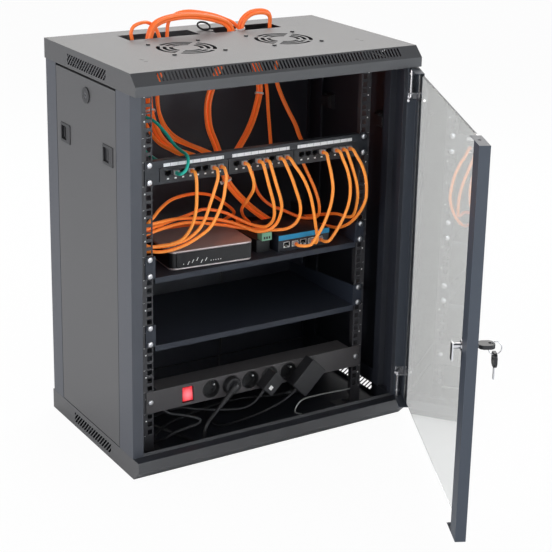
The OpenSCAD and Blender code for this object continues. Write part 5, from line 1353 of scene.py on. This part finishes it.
def sleeve(name, line, length, thick, thin, ribs, node):
    travelled, points = 0.0, [line[0]]
    for a, b in zip(line, line[1:]):
        points += [a.lerp(b, k / 10) for k in range(1, 11)]
        travelled += (b - a).length
        if travelled > length * MM:
            break
    along = [0.0]
    for a, b in zip(points, points[1:]):
        along.append(along[-1] + (b - a).length)
    bm = bmesh.new()
    rings, side = [], Vector((0.3, 0.5, 0.8))
    for radius, at in ribbed(length, thick, thin, ribs):
        k = max(i for i, s in enumerate(along) if s <= at * MM + 1e-9)
        ahead = (points[min(k + 1, len(points) - 1)] - points[max(k - 1, 0)]).normalized()
        side = square_to(side, ahead)
        other = ahead.cross(side)
        rings.append([bm.verts.new(points[k] + radius * MM * (math.cos(a) * side + math.sin(a) * other))
                      for a in (2 * math.pi * j / SLEEVE_SIDES for j in range(SLEEVE_SIDES))])
    for low, high in zip(rings, rings[1:]):
        wrap(bm, low, high)
    bm.faces.new(rings[0][::-1])
    bm.faces.new(rings[-1])
    bmesh.ops.recalc_face_normals(bm, faces=bm.faces)
    return new_piece(name, bm, MAINS, node)


line_of = {name: smooth_line(ROUTES[name], 3) for name in ("strip_lead", "router_lead", "converter_lead")}
# A sleeve's numbers are its length, its radius at the root and at the tip, and its ribs.
sleeve("strip_relief", line_of["strip_lead"], 24, 4.6, 3.4, 6, "power_plug")
sleeve("supply_relief", line_of["strip_lead"][::-1], 26, 4.8, 3.4, 6, "power_plug")
sleeve("small_adapter_relief", line_of["router_lead"], 14, 3.6, 2.6, 4, "power_adapters")
sleeve("large_adapter_relief", line_of["converter_lead"], 14, 3.6, 2.6, 4, "power_adapters")
print("four sleeves made")

# %% [markdown]
# The smaller adapter has a small rating plate on its face: a thin white block is enough.
# %% Rating plate
rating = block(mm(-5, -22, 0), mm(3, -14, 0.12))
extra_piece("adapter_plate", rating, PRINT_WHITE,
            matrix=outlet_matrix(3) @ Matrix.Translation(mm(0, 0, 28.32)))
print("rating plate fixed")

# %% [markdown]
# ### Keys
# The keys have black moulded heads with rounded corners and a hole, and a cut steel blade.
# Their places are given in the lock's own frame, with Z out of the door, Y up and the origin
# on the lock's axis, and then carried by one matrix to where the open door holds them.
# %% Keys
DOOR_OPEN = math.radians(64)
LOCK_FRAME = (Matrix.Translation(metres([288, 13, 0])) @ Matrix.Rotation(DOOR_OPEN, 4, "Z")
              @ Matrix.Translation((-0.557, 0, 0.380)) @ Matrix.Rotation(math.pi / 2, 4, "X"))


def rounded_outline(w, h, r, centre, steps=6):
    corners = ((w / 2 - r, h / 2 - r, 0), (r - w / 2, h / 2 - r, 90),
               (r - w / 2, r - h / 2, 180), (w / 2 - r, r - h / 2, 270))
    return [(centre[0] + x + r * math.cos(math.radians(a0 + 90 * k / steps)),
             centre[1] + y + r * math.sin(math.radians(a0 + 90 * k / steps)))
            for x, y, a0 in corners for k in range(steps + 1)]


def prism(outline, low, high, rounding=0.0):
    """An outline in millimetres extruded along Z, with its two rims bevelled."""
    bm = bmesh.new()
    foot, head = [[bm.verts.new(mm(x, y, z)) for x, y in outline] for z in (low, high)]
    wrap(bm, foot, head)
    bm.faces.new(foot[::-1])
    bm.faces.new(head)
    if rounding:
        rims = [e for e in bm.edges if abs(e.verts[0].co.z - e.verts[1].co.z) < 1e-7]
        bevel(bm, rims, rounding * MM, 3)
    return bm


def key_head(w, h, centre, hole, hole_r, thick):
    head = mesh_from(prism(rounded_outline(w, h, 7, centre), -thick / 2, thick / 2, 1.1), "head")
    drill = lathe([(0, -9), (hole_r, -9), (hole_r, 9), (0, 9)], 24, None, (0, hole, 0))
    return cut(head, mesh_from(drill, "drill"))


def key_blade(start, end):
    """A blade along Y with teeth on one edge."""
    step, teeth = (end - start) / 9, (0.0, 1.3, 0.5, 1.8, 1.0, 2.1, 0.7, 1.5, 0.9)
    edge = [(3.5 - t, start + (k + 0.5) * step) for k, t in enumerate(teeth)]
    return prism([(-3.5, start), (3.5, start)] + edge + [(1.2, end), (-3.0, end)], -1, 1, 0.15)


upright_key = LOCK_FRAME @ Matrix.Rotation(math.pi / 2, 4, "X")
hanging_key = LOCK_FRAME @ Matrix.Translation(mm(0, 0, 47.5))
# A head's numbers are its width, height, centre, the hole's height and radius, and thickness.
# A blade's are its two ends.
for key, matrix, head, blade in (
        ("door_key", upright_key, key_head(24, 27, (0, 32.5), 39, 3.5, 7), key_blade(21, 7.5)),
        ("spare_key", hanging_key, key_head(23, 25, (0, -25.1), -17.6, 2.5, 5), key_blade(-35.6, -59.6))):
    new_piece(key + "_head", head, PAINTS["key_plastic"], key, matrix=matrix)
    new_piece(key + "_blade", blade, STEEL, key, matrix)
print("two keys")

# %% [markdown]
# ### Fan rotors
# A fan's seven blades are thin curved vanes that sweep backwards and flatten out towards
# their tips. One vane is built from a small grid of points and turned about the hub.
# %% Fan rotors
VANES, HUB_R, VANE_LONG, VANE_HALF_T = 7, 18, 36.5, 0.6
OUTWARD, ACROSS = 6, 4
SWEEP, CHORD, NARROWS, SPREAD, FILLED = 0.25, 1.02, 0.42, 20, 0.9
MIDDLE_Z, RISE, FLATTENS, CAMBER = 13.5, 16, 5, 1.2
HUB = [(0, 0.3), (3, 0.3), (3, 4.5), (18.2, 4.5), (19, 5.3), (19, 23.6), (18, 24.6), (0, 24.6)]
FOOT = HUB[0][1]


def vane(bm, turn):
    sides = []
    for lift in (-VANE_HALF_T, VANE_HALF_T):
        rows = []
        for i in range(OUTWARD + 1):
            share = i / OUTWARD
            r = HUB_R + VANE_LONG * share
            rows.append([])
            for j in range(ACROSS + 1):
                across = j / ACROSS - 0.5
                a = turn + SWEEP * share ** 1.5 + across * (CHORD - NARROWS * share) * SPREAD / r * FILLED
                arch = CAMBER * (0.25 - across * across) * 4
                z = MIDDLE_Z + across * (RISE - FLATTENS * share) + arch + lift
                rows[-1].append(bm.verts.new(mm(r * math.cos(a), r * math.sin(a), z)))
        sides.append(rows)
    low, high = sides
    for i in range(OUTWARD):
        for j in range(ACROSS):
            bm.faces.new((low[i][j], low[i][j + 1], low[i + 1][j + 1], low[i + 1][j]))
            bm.faces.new((high[i][j], high[i + 1][j], high[i + 1][j + 1], high[i][j + 1]))
    rim = [(i, 0) for i in range(OUTWARD)] + [(OUTWARD, j) for j in range(ACROSS)]
    rim += [(i, ACROSS) for i in range(OUTWARD, 0, -1)] + [(0, j) for j in range(ACROSS, 0, -1)]
    for (a, b), (c, d) in zip(rim, rim[1:] + rim[:1]):
        bm.faces.new((low[a][b], low[c][d], high[c][d], high[a][b]))


for side in ("left", "right"):
    node = "fan_rotor_" + side
    low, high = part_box(node)
    bm = bmesh.new()
    lathe([(r, min(z, (high.z - low.z) * 1000)) for r, z in HUB], 40, bm)
    for k in range(VANES):
        vane(bm, 2 * math.pi * k / VANES)
    bmesh.ops.recalc_face_normals(bm, faces=bm.faces)
    axis = Matrix.Translation(((low.x + high.x) / 2, (low.y + high.y) / 2, low.z - FOOT * MM))
    new_piece(node + "_vanes", bm, PAINTS["black_plastic"], node, matrix=axis)
print("two rotors")

# %% [markdown]
# ### Hinge springs
# A spring sits between its guide and the collar of its hinge pin, and drawing the pin back
# closes its turns. Here each coil is a smoothed copy of its CAD node, with a mesh of its own.
# %% Hinge springs
GUIDE_END = {"top": 0, "bottom": 1}
for end, at_guide in GUIDE_END.items():
    node = "hinge_spring_" + end
    coil = mesh_from(merged_copy(node), node + "_coil", smooth=True)
    spring = new_piece(node + "_coil", coil, PAINTS[slot_of[node]], node)
    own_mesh(spring)
# %% [markdown]
# ### Small marks on the equipment
# The router's window has a row of indicator lamps beside short printed dashes, and the terminal
# block has a slotted screw over each wire entry. All are tiny solids set out by the same tree.
# %% Indicators and terminal screws
ROUTER_DEPTH, ROUTER_FACE, DASHES, DOTS = 132.0, 0.75, 5, 5
ROUTER_TURNED = (Matrix.Translation(metres([*ROUTER_AT, SHELF_TOP]))
                 @ Matrix.Rotation(ROUTER_TURN, 4, "Z"))
ENTRY_X, ENTRY_HALF_W = (25.5, 31, 36.5), 1.9


def on_router(x, rise):
    """A place on the router's front window, with Z pointing out of it."""
    at = Matrix.Translation(mm(x, -(ROUTER_DEPTH / 2 + ROUTER_FACE), rise))
    return placed(ROUTER_TURNED @ at @ Matrix.Rotation(math.pi / 2, 4, "X"))


dash = mesh_from(prism([(-2.4, -3.2), (-1.0, -3.2), (2.4, 3.2), (1.0, 3.2)], 0, 0.2), "dash")
dashes = [on_router(-50 + 9 * k, 13 + 2.5 * (k % 3)) for k in range(DASHES)]
lamp_dot = mesh_from(lathe([(0, 0), (0.9, 0), (0.9, 0.15), (0, 0.25)], 12), "lamp_dot")
dots = [on_router(-4 + 5 * k, 12) for k in range(DOTS)] + [on_router(-60, 12)]
extra_copies("router_dashes", dash, dashes, PRINT_WHITE)
extra_copies("router_indicators", lamp_dot, dots, PRINT_WHITE)


def slotted_screw():
    head = lathe([(0, 0), (1.8, 0), (1.8, 0.6), (1.5, 0.8), (0, 0.8)], 20)
    slot = block(mm(-2, -0.25, 0.4), mm(2, 0.25, 1.2))
    return cut(mesh_from(head, "slotted"), mesh_from(slot, "slot"))


block_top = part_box("terminal_block")[1].z
terminal_places = [((x * MM, 0.113 + FRONT_Y, block_top - 2.6 * MM), (0, 0, 0)) for x in ENTRY_X]
extra_copies("terminal_screws", slotted_screw(), terminal_places, STEEL, twist=1.2)
entries = bmesh.new()
for x in ENTRY_X:
    block(metres([x - ENTRY_HALF_W, 107.92, SHELF_TOP + 29]),
          metres([x + ENTRY_HALF_W, 108.1, SHELF_TOP + 34]), entries)
extra_piece("terminal_entries", entries, PAINTS["outlet_black"])
print(len(dashes) + len(dots), "marks on the router")

# %% [markdown]
# The router's case is pale on top and at its foot, with a dark glossy belt all round between
# two thin rims, so its finish is split by height.
# %% Router belt
BELT_MIDDLE, BELT_HALF_H = SHELF_TOP + 19.5, 14.5


def belted_case():
    material = finish("router_belted", (0.50, 0.44, 0.43), 0.32, metal=0.35, grain=1400, bump=0.1)
    tree, shader, pale = opened(material)
    height = axis_of(tree, object_place(tree), "Z")
    belt = band_mask(tree, height, BELT_MIDDLE * MM, BELT_HALF_H * MM)
    fill(tree, shader, Base_Color=mix_colour(tree, belt, pale, (0.012, 0.012, 0.014)))
    return material


paint(soft["router_case"], belted_case())
print("router belt from", BELT_MIDDLE - BELT_HALF_H, "to", BELT_MIDDLE + BELT_HALF_H, "mm")

# %% [markdown]
# ### Cable ties
# Four nylon ties hold the bundles. A fifth, of black hook tape, lies on the roof between the two
# cable entries: an oval loop standing on its edge, with the pale end of its back sticking out.
# %% The open tie
HOOK_TAPE = finish("hook_tape", (0.011, 0.011, 0.012), 0.75, grain=1600, bump=0.3, wear=0)
LOOP_AT, LOOP_LONG, LOOP_HIGH, LOOP_RISE = (8, 322), 12.5, 7.0, 9.2
LOOP_TURN, LOOP_LEAN = math.radians(-30), math.radians(15)
TAPE_W, TAPE_T = 6.0, 3.0


def oval_band(half_long, half_high, half_thick, half_wide, sides=40):
    bm, rings = bmesh.new(), []
    for k in range(sides):
        a = 2 * math.pi * k / sides
        at = Vector((half_long * math.cos(a), 0, half_high * math.sin(a)))
        out = Vector((half_high * math.cos(a), 0, half_long * math.sin(a))).normalized()
        rings.append([bm.verts.new(at + out * t + Vector((0, w, 0)))
                      for t, w in ((-half_thick, -half_wide), (half_thick, -half_wide),
                                   (half_thick, half_wide), (-half_thick, half_wide))])
    for a, b in zip(rings, rings[1:] + rings[:1]):
        wrap(bm, a, b)
    bmesh.ops.recalc_face_normals(bm, faces=bm.faces)
    return bm


roof_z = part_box("top_cap")[1].z
loop_at = metres([*LOOP_AT, 0])
loop_at.z = roof_z + LOOP_RISE * MM
upright_loop = Matrix.Translation(loop_at) @ Matrix.Rotation(LOOP_TURN, 4, "Z")
leaning_loop = upright_loop @ Matrix.Rotation(LOOP_LEAN, 4, "Y")
band = oval_band(*mm(LOOP_LONG, LOOP_HIGH, TAPE_T / 2, TAPE_W / 2))
new_piece("open_tie", mesh_from(band, "open_tie", smooth=True), HOOK_TAPE, "cable_ties",
          leaning_loop)
end = block(mm(9, -TAPE_W / 2, -8.9), mm(19, TAPE_W / 2, -8.2), None, 0.2 * MM)
new_piece("open_tie_end", end, pale_jacket, "cable_ties", upright_loop)
ties = merged_copy("cable_ties")
# The CAD's fifth tie lies where the open one goes, so it is taken out of the others.
fifth = [v for v in ties.verts if v.co.z > roof_z - 3 * MM and abs(v.co.x - LOOP_AT[0] * MM) < 16 * MM]
bmesh.ops.delete(ties, geom=fifth, context="VERTS")
new_piece("nylon_ties", ties, PAINTS["tie_white"], "cable_ties")
print("four ties closed, one open on the roof")

# %% [markdown]
# ## Finish
# %% Finish
print("the scene is built")
